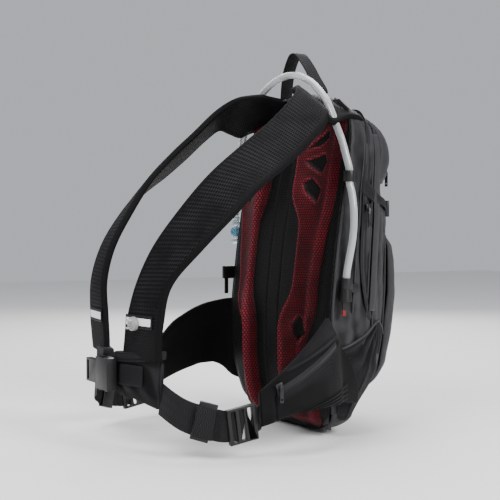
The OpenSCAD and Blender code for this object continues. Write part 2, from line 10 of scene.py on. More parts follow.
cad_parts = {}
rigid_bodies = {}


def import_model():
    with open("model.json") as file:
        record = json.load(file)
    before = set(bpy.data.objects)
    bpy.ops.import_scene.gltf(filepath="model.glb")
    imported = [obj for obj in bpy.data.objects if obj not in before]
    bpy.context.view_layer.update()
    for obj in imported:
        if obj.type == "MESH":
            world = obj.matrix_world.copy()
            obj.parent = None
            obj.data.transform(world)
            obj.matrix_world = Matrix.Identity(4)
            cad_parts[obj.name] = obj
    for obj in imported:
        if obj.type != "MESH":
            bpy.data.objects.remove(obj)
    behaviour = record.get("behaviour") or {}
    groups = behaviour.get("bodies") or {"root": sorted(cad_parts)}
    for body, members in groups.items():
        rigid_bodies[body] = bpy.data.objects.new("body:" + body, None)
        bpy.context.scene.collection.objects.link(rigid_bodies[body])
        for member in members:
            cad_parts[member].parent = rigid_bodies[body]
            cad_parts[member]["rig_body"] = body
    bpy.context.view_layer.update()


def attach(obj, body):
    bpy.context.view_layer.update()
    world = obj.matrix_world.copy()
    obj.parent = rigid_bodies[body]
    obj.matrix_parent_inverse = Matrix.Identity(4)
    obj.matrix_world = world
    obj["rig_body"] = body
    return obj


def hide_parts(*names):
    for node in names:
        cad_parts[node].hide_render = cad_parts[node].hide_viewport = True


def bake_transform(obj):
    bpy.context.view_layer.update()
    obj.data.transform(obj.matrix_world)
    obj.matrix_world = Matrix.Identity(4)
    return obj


bl_info = {
    "name": "Hydration Pack",
    "version": (1, 0, 0),
    "blender": (4, 5, 0),
    "location": "View3D > Sidebar > Pack",
    "description": "Builds a hydration pack's cloth, foam, webbing, buckles and hose",
    "category": "Object",
}

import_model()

MM = 0.001
SIDES = {"left": 1.0, "right": -1.0}

# ---- the pack's laws, in millimetres, as the frame was drawn ----

BACK_LINE = [(0, -16), (20, -30), (50, -38), (95, -45), (170, -45), (245, -37), (310, -27),
             (360, -17), (410, -10), (450, -3)]
SIDE_LINE = [(0, 88), (20, 104), (45, 114), (80, 121), (130, 125), (175, 126), (400, 124),
             (416, 116), (430, 102), (440, 84), (447, 62)]
DEPTH_LINE = [(0, 0.2), (20, 0.33), (45, 0.45), (60, 0.66), (80, 0.84), (130, 0.95), (190, 1),
              (260, 1), (295, 0.98), (326, 0.9), (374, 0.86), (400, 0.74), (414, 0.6),
              (432, 0.27), (447, 0.05)]
BODY_DEPTH = 92
SHEET = 2.8
SECTION_POWER = 2.6
STRAP_INNER = [(43, -50, 459), (74, -64, 457), (98, -84, 440), (102, -118, 408),
               (97, -153, 379), (86, -196, 340), (74, -230, 298), (62, -262, 250),
               (50, -279, 204), (34, -284, 160), (28, -285, 131), (26, -286, 114)]
STRAP_OUTER = [(127, -50, 412), (141, -61, 417), (161, -76, 402), (166, -106, 374),
               (167, -138, 348), (168, -174, 322), (163, -206, 290), (146, -240, 250),
               (118, -267, 206), (107, -273, 160), (102, -273, 131),
               (100, -272, 114)]
ROOT_INNER = [(24, 22, 438), (25, 10, 445), (28, -8, 450), (32, -20, 453), (37, -34, 456)]
ROOT_OUTER = [(112, 18, 412), (117, 6, 416), (120, -9, 417), (121, -22, 413),
              (122, -36, 407)]
STRAP_THICK = 10
WING_CENTRE = (48, -121)
WING_RADIUS = 122
WING_THICK = 10
WEB_ROUTE = [(157, -190, 42), (154, -206, 40), (153, -216, 41), (149, -222, 42),
             (142, -236, 46), (135, -250, 51), (127, -259, 56), (114, -266, 63),
             (96, -269.5, 70)]
WEB_LEAN = Vector((0.1, 0.12, 1)).normalized()


def law(z, rows):
    """The value at z along rows of (z, value), straight between them."""
    if z <= rows[0][0]:
        return rows[0][1]
    for (z0, v0), (z1, v1) in zip(rows, rows[1:]):
        if z <= z1:
            return v0 + (v1 - v0) * (z - z0) / (z1 - z0)
    return rows[-1][1]


def smooth_law(z, rows):
    """law() with its corners rounded off over a few millimetres."""
    return sum(law(z + d, rows) for d in (-12, -6, 0, 6, 12)) / 5


def ease(x):
    x = min(max(x, 0.0), 1.0)
    return x * x * (3 - 2 * x)


def bent(v):
    return math.copysign(abs(v) ** (2 / SECTION_POWER), v)


def shell_point(angle, z, off):
    """A point of the D-shaped section in metres; 0 degrees is the wearer's left seam."""
    yb = smooth_law(z, BACK_LINE) + SHEET
    deep = smooth_law(z, DEPTH_LINE) * BODY_DEPTH
    across, out = bent(math.cos(math.radians(angle))), bent(math.sin(math.radians(angle)))
    return Vector(((smooth_law(z, SIDE_LINE) + off) * across, yb + (deep - yb + off) * out,
                   z)) * MM


def spline(points, steps):
    """A smooth curve through points, with a number of pieces between each pair."""
    p = [Vector(q) for q in points]
    found = []
    for i in range(len(p) - 1):
        a, b, c, d = p[max(i - 1, 0)], p[i], p[i + 1], p[min(i + 2, len(p) - 1)]
        for k in range(steps):
            u = k / steps
            found.append(0.5 * (2 * b + (c - a) * u + (2 * a - 5 * b + 4 * c - d) * u * u
                                + (3 * b - a - 3 * c + d) * u ** 3))
    return found + [p[-1]]


def along(points, t):
    """The point at share t of a list of points."""
    x = min(max(t, 0.0), 1.0) * (len(points) - 1)
    i = min(int(x), len(points) - 2)
    return points[i].lerp(points[i + 1], x - i)


def run_length(points):
    return sum((b - a).length for a, b in zip(points, points[1:]))


def ripple(p, size, seed=0.0):
    """Smooth noise from -1 to 1, with features of a size in metres."""
    return noise.noise(Vector(p) / size + Vector((seed, seed * 1.7, -seed)))


def chest_point(share, z):
    """A point of the strap's chest end, share of the way out, at height z, in mm."""
    a = Vector((law(z, [(62, 24), (131, 28), (160, 34)]),
                law(z, [(62, -288), (131, -285), (160, -284)]), z))
    b = Vector((law(z, [(62, 130), (108, 130), (131, 102), (160, 107)]),
                law(z, [(62, -258), (108, -258), (131, -273), (160, -273)]), z))
    return a.lerp(b, share)


def wing_point(y, z, off):
    reach = math.sqrt((WING_RADIUS + off) ** 2 - (y - WING_CENTRE[1]) ** 2)
    return Vector((WING_CENTRE[0] + reach + 0.1 * (100 - z), y, z))


# ---- modelling ----

def start_clean():
    if bpy.context.object and bpy.context.object.mode != "OBJECT":
        bpy.ops.object.mode_set(mode="OBJECT")
    bpy.ops.object.select_all(action="DESELECT")


def only(piece):
    start_clean()
    piece.select_set(True)
    bpy.context.view_layer.objects.active = piece


def apply_all(piece):
    only(piece)
    for modifier in list(piece.modifiers):
        bpy.ops.object.modifier_apply(modifier=modifier.name)


def walled(piece, thickness, offset=0.0):
    """Gives a sheet of cloth its thickness; offset is which side of it the wall grows."""
    wall = piece.modifiers.new("wall", "SOLIDIFY")
    wall.thickness, wall.offset = thickness, offset
    apply_all(piece)
    return piece


def settle(piece):
    """Puts a piece's place into its mesh and leaves its object at the origin."""
    only(piece)
    bpy.ops.object.transform_apply(location=True, rotation=True, scale=True)
    return piece


def cloth(name, columns, rows, place, size):
    """A grid whose points are laid where place(s, t) says; its UV map is in metres."""
    start_clean()
    bpy.ops.mesh.primitive_grid_add(x_subdivisions=columns, y_subdivisions=rows, size=2)
    piece = bpy.context.object
    piece.name = piece.data.name = name
    mesh = piece.data
    for vertex in mesh.vertices:
        vertex.co = place((vertex.co.x + 1) / 2, (vertex.co.y + 1) / 2)
    for loop in mesh.uv_layers.active.data:
        loop.uv = (loop.uv[0] * size[0], loop.uv[1] * size[1])
    bpy.ops.object.shade_smooth()
    return piece


def outward(piece):
    only(piece)
    bpy.ops.object.mode_set(mode="EDIT")
    bpy.ops.mesh.select_all(action="SELECT")
    bpy.ops.mesh.normals_make_consistent(inside=False)
    bpy.ops.object.mode_set(mode="OBJECT")
    return piece


def closed(piece, gap=0.00005):
    """Joins a tube's two long edges, closes its ends and turns its faces outwards."""
    only(piece)
    bpy.ops.object.mode_set(mode="EDIT")
    bpy.ops.mesh.select_all(action="SELECT")
    bpy.ops.mesh.remove_doubles(threshold=gap)
    bpy.ops.mesh.select_all(action="DESELECT")
    bpy.ops.mesh.select_non_manifold(extend=False)
    bpy.ops.mesh.fill_holes(sides=0)
    bpy.ops.mesh.select_all(action="SELECT")
    bpy.ops.mesh.normals_make_consistent(inside=False)
    bpy.ops.object.mode_set(mode="OBJECT")
    return piece


def padded_band(name, inner, outer, thick, columns=28, rows=120, square=0.55,
                shape=None):
    """A closed padded band between two edge lines; shape(s, t, up) adds to its height."""
    middle = [(a + b) / 2 for a, b in zip(inner, outer)]
    width = sum((b - a).length for a, b in zip(inner, outer)) / len(inner)

    def place(s, t):
        turn = 2 * math.pi * s
        c, u = math.cos(turn), math.sin(turn)
        across = (1 - math.copysign(abs(c) ** square, c)) / 2
        lift = math.copysign(abs(u) ** square, u) if abs(u) > 1e-6 else 0.0
        a, b = along(inner, t), along(outer, t)
        step = 1.5 / len(middle)
        ahead = along(middle, t + step) - along(middle, t - step)
        normal = (b - a).cross(ahead).normalized()
        half = thick(t) if callable(thick) else thick
        height = half / 2 * lift
        if shape:
            height += shape(across, t, lift)
        return a.lerp(b, across) + normal * height

    long = run_length(middle)
    piece = cloth(name, columns * 2, rows, place, (1, 1))
    for loop in piece.data.uv_layers.active.data:
        s, t = loop.uv
        across = (1 - math.copysign(abs(math.cos(2 * math.pi * s)) ** square,
                                    math.cos(2 * math.pi * s))) / 2
        loop.uv = ((across if s < 0.5 else 2 - across) * width, t * long)
    return closed(piece)


def round_curve(name, points, radius, resolution, cyclic=False):
    """A curve object along points with a round section."""
    start_clean()
    data = bpy.data.curves.new(name, "CURVE")
    data.dimensions = "3D"
    line = data.splines.new("POLY")
    line.points.add(len(points) - 1)
    for knot, p in zip(line.points, points):
        knot.co = (*p, 1)
    line.use_cyclic_u = cyclic
    data.bevel_depth = radius
    data.bevel_resolution = resolution
    data.use_fill_caps = not cyclic
    piece = bpy.data.objects.new(name, data)
    bpy.context.collection.objects.link(piece)
    return piece


def tube(name, points, radius, sides=10, cyclic=False):
    """A round bead or cord along points, as a mesh."""
    only(round_curve(name, points, radius, max(sides // 2 - 1, 1), cyclic))
    bpy.ops.object.convert(target="MESH")
    bpy.ops.object.shade_smooth()
    return bpy.context.object


def joined(name, parts):
    start_clean()
    for part in parts:
        part.select_set(True)
    bpy.context.view_layer.objects.active = parts[0]
    bpy.ops.object.join()
    piece = bpy.context.object
    piece.name = piece.data.name = name
    return piece


def softened(node, bevel=0.0006, name=None, segments=3):
    """A copy of a moulded CAD node with its edges rounded; it stands for the node."""
    source = bpy.data.objects[node]
    body = source["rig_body"]
    piece = bpy.data.objects.new(name or node + "_moulded", source.data.copy())
    bpy.context.collection.objects.link(piece)
    piece.matrix_world = source.matrix_world.copy()
    only(piece)
    bpy.ops.object.mode_set(mode="EDIT")
    bpy.ops.mesh.select_all(action="SELECT")
    bpy.ops.mesh.remove_doubles(threshold=0.00002)
    bpy.ops.mesh.dissolve_limited(angle_limit=math.radians(1.5))
    bpy.ops.object.mode_set(mode="OBJECT")
    rounding = piece.modifiers.new("rounding", "BEVEL")
    rounding.width = bevel
    rounding.segments = segments
    rounding.limit_method = "ANGLE"
    rounding.angle_limit = math.radians(35)
    apply_all(piece)
    bpy.ops.object.shade_smooth_by_angle(angle=math.radians(40))
    settle(piece)
    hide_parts(node)
    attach(piece, body)
    return piece


def lathe(name, profile, top, steps=40):
    """A turned piece from a profile of (radius, height), in metres, about a line down top."""
    def place(s, t):
        radius, height = profile[round(t * (len(profile) - 1))]
        turn = 2 * math.pi * s
        return top + Vector((radius * math.cos(turn), radius * math.sin(turn), height))

    piece = closed(cloth(name, steps, len(profile) - 1, place, (0.04, 0.04)), 0.00002)
    bpy.ops.object.shade_smooth_by_angle(angle=math.radians(40))
    return piece


def mark_folds(piece, depth=0.0007, passes=14):
    """Stores how far each point stands over or under its surroundings, from 0 to 1; the materials
    paint shade into the hollows and highlights onto the crests from it.
    """
    mesh = piece.data
    count = len(mesh.vertices)
    place, normal = np.empty(count * 3), np.empty(count * 3)
    mesh.vertices.foreach_get("co", place)
    mesh.vertices.foreach_get("normal", normal)
    place, normal = place.reshape(count, 3), normal.reshape(count, 3)
    pairs = np.empty(len(mesh.edges) * 2, dtype=np.int64)
    mesh.edges.foreach_get("vertices", pairs)
    one, other = pairs[0::2], pairs[1::2]
    met = np.maximum(np.bincount(pairs, minlength=count), 1)
    flat = place.copy()
    for _ in range(passes):
        for k in range(3):
            total = (np.bincount(one, weights=flat[other, k], minlength=count)
                     + np.bincount(other, weights=flat[one, k], minlength=count))
            flat[:, k] = (flat[:, k] + total / met) / 2
    over = ((place - flat) * normal).sum(axis=1) / depth
    tone = mesh.attributes.new("fold", "FLOAT", "POINT")
    tone.data.foreach_set("value", (np.clip(over, -1, 1) / 2 + 0.5).astype(np.float32))


def finish_piece(piece, look, body, *nodes, bend=None):
    """Gives a piece its material and its body, and hides the CAD nodes that it stands for.

    bend is (other body, start, end); a piece with a bend only has its place put into its mesh and
    is attached to no body, and the bend's bodies and points have no effect.
    """
    piece.data.materials.clear()
    piece.data.materials.append(look)
    if piece.type == "MESH":
        mark_folds(piece)
    if nodes:
        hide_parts(*nodes)
    if bend:
        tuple(bend[1])
        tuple(bend[2])
        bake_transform(piece)
    else:
        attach(piece, body)
    return piece


def repaint(piece, look):
    piece.data.materials.clear()
    piece.data.materials.append(LOOKS[look])
    return piece


def mirrored(points, side):
    return [Vector((p[0] * SIDES[side], p[1], p[2])) for p in points]


def metres(points):
    return [Vector(p) * MM for p in points]


# ---- materials ----

class Link:
    """A socket in a node tree; arithmetic on it adds Math nodes."""

    def __init__(self, look, socket):
        self.look, self.socket = look, socket

    def math(self, operation, other=0.0, first=False):
        pair = (other, self) if first else (self, other)
        return self.look.node("ShaderNodeMath", {"operation": operation},
                              {0: pair[0], 1: pair[1]})

    def __add__(self, o): return self.math("ADD", o)
    def __radd__(self, o): return self.math("ADD", o)
    def __sub__(self, o): return self.math("SUBTRACT", o)
    def __rsub__(self, o): return self.math("SUBTRACT", o, first=True)
    def __mul__(self, o): return self.math("MULTIPLY", o)
    def __rmul__(self, o): return self.math("MULTIPLY", o)
    def __truediv__(self, o): return self.math("DIVIDE", o)
    def __abs__(self): return self.math("ABSOLUTE")
    def sin(self): return self.math("SINE")
    def cos(self): return self.math("COSINE")
    def fract(self): return self.math("FRACT")
    def over(self, o): return self.math("GREATER_THAN", o)
    def least(self, o): return self.math("MINIMUM", o)
    def most(self, o): return self.math("MAXIMUM", o)

    def between(self, low, high):
        """0 below low, 1 above high and smooth between."""
        return self.look.node("ShaderNodeMapRange", {"interpolation_type": "SMOOTHSTEP"},
                              {"Value": self, "From Min": low, "From Max": high,
                               "To Min": 0.0, "To Max": 1.0})


class Look:
    """A material, its principled shader and the nodes that feed it."""

    def __init__(self, name, **constants):
        self.material = bpy.data.materials.new(name)
        self.material.use_nodes = True
        self.tree = self.material.node_tree
        self.shader = self.tree.nodes["Principled BSDF"]
        for key, value in constants.items():
            self.shader.inputs[key.replace("_", " ")].default_value = value

    def node(self, kind, settings=None, inputs=None, output=0):
        made = self.tree.nodes.new(kind)
        for key, value in (settings or {}).items():
            if key == "stops":
                self.ramp(made.color_ramp, value)
            else:
                setattr(made, key, value)
        for key, value in (inputs or {}).items():
            self.feed(made.inputs[key], value)
        return Link(self, made.outputs[output])

    def ramp(self, ramp, stops):
        while len(ramp.elements) < len(stops):
            ramp.elements.new(0.5)
        for element, (place, colour) in zip(ramp.elements, stops):
            element.position, element.color = place, colour

    def feed(self, socket, value):
        if isinstance(value, Link):
            self.tree.links.new(value.socket, socket)
        else:
            socket.default_value = value

    def set(self, **inputs):
        for key, value in inputs.items():
            self.feed(self.shader.inputs[key.replace("_", " ")], value)
        return self

    def uv(self):
        split = self.node("ShaderNodeSeparateXYZ", None,
                          {0: self.node("ShaderNodeUVMap", {"uv_map": "UVMap"})})
        return split, Link(self, split.socket.node.outputs[1])

    def attribute(self, name):
        return self.node("ShaderNodeAttribute", {"attribute_name": name}, output=2)

    def place(self):
        return self.node("ShaderNodeTexCoord", output=3)

    def noise(self, scale, detail=3.0, vector=None, rough=0.55):
        return self.node("ShaderNodeTexNoise", None,
                         {"Vector": vector or self.place(), "Scale": scale,
                          "Detail": detail, "Roughness": rough})

    def mix(self, share, a, b):
        made = self.tree.nodes.new("ShaderNodeMix")
        made.data_type = "RGBA"
        self.feed(made.inputs[0], share)
        self.feed(made.inputs[6], a)
        self.feed(made.inputs[7], b)
        return Link(self, made.outputs[2])

    def bump(self, height, distance, strength=1.0, under=None):
        inputs = {"Height": height, "Distance": distance, "Strength": strength}
        if under:
            inputs["Normal"] = under
        return self.node("ShaderNodeBump", None, inputs)


def grey(v, blue=1.08):
    return (v, v * 0.985, v * blue, 1.0)


def woven(name, shade, pitch=0.0011, depth=0.00025, sheen=0.03, rough=0.62, mottle=0.35,
          shine=0.06):
    """Woven cloth: two thread directions, a mottle, painted shade in the grooves and painted
    highlights on the crests.
    """
    look = Look(name, Sheen_Weight=sheen, Sheen_Roughness=0.4, Specular_IOR_Level=shine)
    u, v = look.uv()
    warp = (u * (2 * math.pi / pitch)).sin()
    weft = (v * (2 * math.pi / pitch)).sin()
    weave = (warp * weft) * 0.5 + 0.5
    fold = look.attribute("fold")
    cloud = look.noise(38.0, 4.0)
    fine = look.noise(900.0, 2.0)
    tone = ((cloud - 0.5) * mottle + weave * 0.22 + fine * 0.25).between(-0.15, 0.55)
    # Painted shade and highlight: the fold mark picks the dark pair in hollows and seams and the
    # light pair on crests.
    low = look.mix(tone, grey(shade * 0.25), grey(shade * 0.6))
    high = look.mix(tone, grey(shade * 1.5), grey(shade * 3.6))
    look.set(Base_Color=look.mix(fold.between(0.12, 0.95), low, high),
             Roughness=rough + (fine - 0.5) * 0.15, Normal=look.bump(weave + fine * 0.6, depth))
    return look.material


def hex_gap(u, v, pitch):
    """Distance from the middle of the nearest cell of a hexagonal net, in cells."""
    x, y = u / pitch, v / pitch
    wide, tall = 1.0, math.sqrt(3)

    def cell(shift_x, shift_y):
        a = abs((x + shift_x).fract() * wide - 0.5)
        b = abs(((y / tall) + shift_y).fract() * tall - tall / 2)
        return a.most(a * 0.5 + b * (math.sqrt(3) / 2))

    return cell(0.0, 0.0).least(cell(0.5, 0.5))


def air_mesh(name):
    """Red foam and black backing seen through a black hexagonal net, with painted highlights on
    the foam's crests and painted shade and highlights on the net.
    """
    look = Look(name, Specular_IOR_Level=0.12)
    u, v = look.uv()
    net = hex_gap(u, v, 0.0038).between(0.24, 0.36)
    red, fold = look.attribute("red"), look.attribute("fold")
    cloud = look.noise(30.0, 3.0)
    foam = look.mix(cloud.between(0.3, 0.7), (0.085, 0.0012, 0.005, 1), (0.17, 0.003, 0.01, 1))
    # Painted highlight: the foam turns a lighter red on its crests, by the fold mark.
    foam = look.mix(fold.between(0.6, 1.0), foam, (0.30, 0.014, 0.03, 1))
    dark = look.mix(cloud.between(0.3, 0.7), grey(0.0015), grey(0.0035))
    under = look.mix(red, dark, foam)
    # Painted shade and highlight: the net's cords are darker in the hollows and lighter on the
    # crests, by the fold mark.
    cord = look.mix(fold.between(0.3, 0.9), grey(0.003), grey(0.010))
    look.set(Base_Color=look.mix(net * 0.94, under, cord), Roughness=0.66 - net * 0.2,
             Normal=look.bump(net, 0.0007))
    return look.material


def knit_mesh(name, shade=0.03):
    """The straps' perforated knit: rows of small holes between looped yarns."""
    look = Look(name, Specular_IOR_Level=0.05)
    u, v = look.uv()
    holes = hex_gap(u, v, 0.0040)
    yarn = holes.between(0.20, 0.40)
    trim = look.attribute("trim")
    fine = look.noise(700.0, 2.0)
    cloud = look.noise(26.0, 3.0)
    body = look.mix(yarn, grey(shade * 0.2), grey(shade * 4.0))
    edge = look.mix(fine.between(0.3, 0.7), grey(shade * 1.1), grey(shade * 1.7))
    colour = look.mix(trim, look.mix(cloud.between(0.3, 0.8), body, grey(shade)), edge)
    look.set(Base_Color=colour, Roughness=0.68 - yarn * 0.1,
             Normal=look.bump(yarn * (1 - trim) + fine * 0.3, 0.0006))
    return look.material


def webbing_look(name, shade=0.008):
    """Woven webbing: slanting ribs that meet in a fine herringbone."""
    look = Look(name, Specular_IOR_Level=0.14)
    u, v = look.uv()
    slant = (v * 2600.0 + abs((u * 95.0).fract() - 0.5) * 12.0).sin() * 0.5 + 0.5
    fine = look.noise(1200.0, 2.0)
    colour = look.mix(slant.between(0.1, 0.9), grey(shade * 0.55), grey(shade * 1.7))
    look.set(Base_Color=colour, Roughness=0.55 + (fine - 0.5) * 0.2,
             Normal=look.bump(slant + fine * 0.4, 0.00035))
    return look.material


def moulded(name, colour, rough=0.38, grain=0.00006):
    """Moulded plastic with a fine spark grain and rubbed patches."""
    look = Look(name, Specular_IOR_Level=0.35)
    fine = look.noise(1600.0, 2.0)
    cloud = look.noise(60.0, 4.0)
    lighter = tuple(min(c * 1.4 + 0.003, 1) for c in colour[:3]) + (1,)
    look.set(Base_Color=look.mix(cloud.between(0.35, 0.75), colour, lighter),
             Roughness=rough + (cloud - 0.5) * 0.2 + (fine - 0.5) * 0.1,
             Normal=look.bump(fine, grain))
    return look.material


def clear_tube(name, colour, transmission, rough):
    """Soft clear plastic with a cloudy wall, paler towards its edges: partly the cloudy wall seen
    edge-on, partly a painted reflection.
    """
    look = Look(name, Transmission_Weight=transmission, IOR=1.42, Specular_IOR_Level=0.6,
                Coat_Weight=0.4, Coat_Roughness=0.08)
    cloud = look.noise(55.0, 3.0)
    # Painted reflection, partly the thicker wall seen edge-on: the colour is dimmed where the
    # surface faces the camera and full at its edges.
    edge = look.node("ShaderNodeLayerWeight", None, {"Blend": 0.35}, output=1)
    dim = tuple(c * 0.62 for c in colour[:3]) + (1,)
    look.set(Base_Color=look.mix(edge.between(0.1, 0.75), dim, colour),
             Roughness=rough + (cloud - 0.5) * 0.1)
    return look.material


def zip_look(name):
    """A coil zip: ribbed teeth in the middle of a plain woven tape."""
    look = Look(name, Specular_IOR_Level=0.2)
    u, v = look.uv()
    middle = 1 - abs(u - 0.006).between(0.0020, 0.0026)
    teeth = (v * (2 * math.pi / 0.0016)).sin() * 0.5 + 0.5
    weave = (u * 5200.0).sin() * (v * 5200.0).sin() * 0.5 + 0.5
    height = middle * (teeth * 0.8 + 0.6) + weave * 0.2
    colour = look.mix(middle, grey(0.009), look.mix(teeth, grey(0.005), grey(0.028)))
    look.set(Base_Color=colour, Roughness=0.6 - middle * 0.25,
             Normal=look.bump(height, 0.0006))
    return look.material


def reflective(name):
    """Silver-white reflective tape with a fine bead grid."""
    look = Look(name, Specular_IOR_Level=0.6, Coat_Weight=0.3)
    u, v = look.uv()
    beads = (u * 4200.0).sin() * (v * 4200.0).sin() * 0.5 + 0.5
    look.set(Base_Color=look.mix(beads, (0.72, 0.74, 0.76, 1), (0.9, 0.92, 0.94, 1)),
             Roughness=0.35 + beads * 0.1, Normal=look.bump(beads, 0.00008))
    return look.material


def painted_zinc(name):
    look = Look(name, Metallic=0.85)
    cloud = look.noise(300.0, 3.0)
    look.set(Base_Color=look.mix(cloud, (0.012, 0.012, 0.013, 1), (0.05, 0.05, 0.053, 1)),
             Roughness=0.34 + (cloud - 0.5) * 0.2, Normal=look.bump(cloud, 0.00005))
    return look.material


LOOKS = {}


def looks():
    """Every finish of the pack, made once."""
    if not LOOKS:
        sizes = bpy.context.scene.pack_sizes
        cloth_shade, strap_shade = sizes.cloth_shade, sizes.strap_shade
        LOOKS.update({
            "pack": woven("pack_cloth", cloth_shade * 1.7, shine=0.2, rough=0.46),
            "panel": woven("panel_cloth", cloth_shade * 1.7, pitch=0.0016, shine=0.14,
                           rough=0.52),
            "stretch": woven("stretch_cloth", cloth_shade * 1.1, pitch=0.0008),
            "wing": woven("wing_cloth", cloth_shade * 0.6, pitch=0.0013),
            "wing_pale": woven("wing_top_cloth", cloth_shade * 1.05, pitch=0.0013),
            "lining": woven("brushed_lining", cloth_shade * 0.35, pitch=0.0007),
            # The piping is the pack's black cloth made lighter: a painted highlight along the
            # round beads.
            "piping": woven("piping_cloth", cloth_shade * 2.2, pitch=0.0009, shine=0.2),
            "air": air_mesh("air_mesh_back"),
            "knit": knit_mesh("strap_knit", strap_shade),
            "webbing": webbing_look("webbing_weave"),
            "plastic": moulded("black_acetal", grey(0.004)),
            "grey_plastic": moulded("grey_acetal", grey(0.3, 1.0), 0.3),
            "red_tab": moulded("red_tab", (0.12, 0.002, 0.003, 1), 0.5),
            "hose": clear_tube("hose_clear", (0.66, 0.68, 0.69, 1), 0.3, 0.14),
            "clear": clear_tube("valve_clear", (0.78, 0.88, 0.93, 1), 0.55, 0.1),
            "blue": clear_tube("valve_blue", tuple(sizes.valve_colour) + (1,), 0.25, 0.2),
            "zip": zip_look("coil_zip"),
            "reflective": reflective("reflective_tape"),
            "zinc": painted_zinc("painted_zinc"),
            "film": clear_tube("bladder_film", (0.75, 0.85, 0.92, 1), 0.3, 0.2),
        })
    return LOOKS


# ---- the back panel ----

CREST_X = [(8, 40), (26, 45), (150, 46), (186, 60), (288, 60), (312, 46), (380, 45), (424, 40)]
CREST_H = [(8, 4), (22, 22), (50, 28), (156, 28), (190, 17), (240, 15), (284, 16), (312, 25),
           (380, 25), (404, 19), (428, 5)]
RED_EDGE = [(8, 78), (30, 96), (60, 92), (100, 78), (124, 76), (144, 90), (168, 103),
            (200, 100), (239, 106), (271, 110), (290, 115), (323, 118), (349, 115),
            (374, 117), (412, 117), (424, 112)]
PAD_HOLES = [[(61, 378), (69, 387), (93, 404), (93, 391), (80, 382)],
             [(60, 362), (90, 371), (94, 360), (88, 344), (68, 355)],
             [(61, 334), (73, 339), (91, 324), (87, 306), (66, 321)],
             [(62, 147), (73, 160), (80, 154), (78, 137), (66, 125), (61, 134)]]


def inside_by(polygon, x, z):
    """How far (x, z) is inside a polygon; negative outside."""
    best, inside = 1e9, False
    for (ax, az), (bx, bz) in zip(polygon, polygon[1:] + polygon[:1]):
        dx, dz = bx - ax, bz - az
        k = min(max(((x - ax) * dx + (z - az) * dz) / (dx * dx + dz * dz), 0), 1)
        best = min(best, math.hypot(x - ax - dx * k, z - az - dz * k))
        if (az > z) != (bz > z) and x < ax + (z - az) * dx / dz:
            inside = not inside
    return best if inside else -best


def pad_height(x, z):
    """The foam's height over the seam plane and how red it is, at a place in mm."""
    u = abs(x)
    crest, tall = smooth_law(z, CREST_X), smooth_law(z, CREST_H)
    edge = smooth_law(z, RED_EDGE)
    side = smooth_law(z, SIDE_LINE) * (0.72 + 0.28 * ease(z / 40))
    ends = ease((z - 6) / 18) * ease((440 - z) / 26)
    floor = 9 * ends
    groove = 1.6 * math.exp(-((u - 15) / 2.2) ** 2)
    ridge = min(11.0, tall)
    if u < crest:
        height = floor - groove + (tall - floor) * ease((u - crest + 9) / 9)
    elif u < edge - 14:
        k = (u - crest) / max(edge - 14 - crest, 1)
        height = tall + (ridge - tall) * ease(k) - 2.0 * math.sin(math.pi * k)
    else:
        height = 3 + (ridge - 3) * ease((edge - u) / 14)
    if u > edge:
        height = 3 * ease((side - u) / 12)
    red = ease((u - crest + 8) / 2.0) * ease((edge - u) / 2.0) * ease((z - 12) / 4)
    red *= ease((425 - z) / 5)
    hole = max(inside_by(p, u, z) for p in PAD_HOLES)
    height -= min(height - 2, 3.0) * ease((hole + 2.0) / 4.0)
    return height * max(ends, 0.12), red * (1 - ease((hole + 0.5) / 1.0))


def make_back():
    def place(s, t):
        z = 6 + 436 * t
        side = (smooth_law(z, SIDE_LINE) + 0.6) * (0.72 + 0.28 * ease(z / 40))
        x = (2 * s - 1) * side
        height, _ = pad_height(x, z)
        return Vector((x, smooth_law(z, BACK_LINE) - height, z)) * MM

    columns, rows = ((200, 300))
    piece = cloth("back_panel", columns, rows, place, (0.252, 0.436))
    across, row = {}, columns + 1
    for start in range(0, len(piece.data.vertices), row):
        line = [piece.data.vertices[start + k].co for k in range(row)]
        runs = [0.0]
        for a, b in zip(line, line[1:]):
            runs.append(runs[-1] + (b - a).length)
        for k in range(row):
            across[start + k] = (runs[k] - runs[-1] / 2, line[k].z)
    for loop, d in zip(piece.data.loops, piece.data.uv_layers.active.data):
        d.uv = across[loop.vertex_index]
    red = piece.data.attributes.new("red", "FLOAT", "POINT")
    for vertex, value in zip(piece.data.vertices, red.data):
        value.value = pad_height(vertex.co.x / MM, vertex.co.z / MM)[1]
    walled(piece, 0.0014, 1.0)
    outward(piece)
    finish_piece(piece, looks()["air"], "pack", "back_mesh", "back_pad_left", "back_pad_right")


# ---- the pack's body ----

PIPES = [(0.0, 0.6, 33, 424, 1.9), (9, 0.8, 165, 404, 1.2), (19.5, 1.2, 158, 398, 1.3),
         (26, 1.0, 140, 402, 1.2)]


FOOT = 32  # the height at which the body's cloth turns in to the bottom


def body_wrinkle(angle, z):
    """Soft folds in the main compartment's cloth, in mm."""
    p = shell_point(angle, z, 0)
    tall = ripple((p.x * 2.8, p.y * 2.8, p.z * 0.5), 0.042, 3.0)
    small = ripple((p.x * 2, p.y * 2, p.z), 0.018, 7.0)
    waist = math.exp(-((z - 318) / 16) ** 2)
    lean = angle - 8 - 4 * (416 - z) / 80
    crease = 1.2 * math.exp(-(lean / 1.6) ** 2) * ease((z - 330) / 10) * ease((420 - z) / 10)
    return (3.2 * tall + 1.1 * small + crease
            - 2.2 * waist * ease((math.sin(math.radians(angle)) - 0.2) * 3))


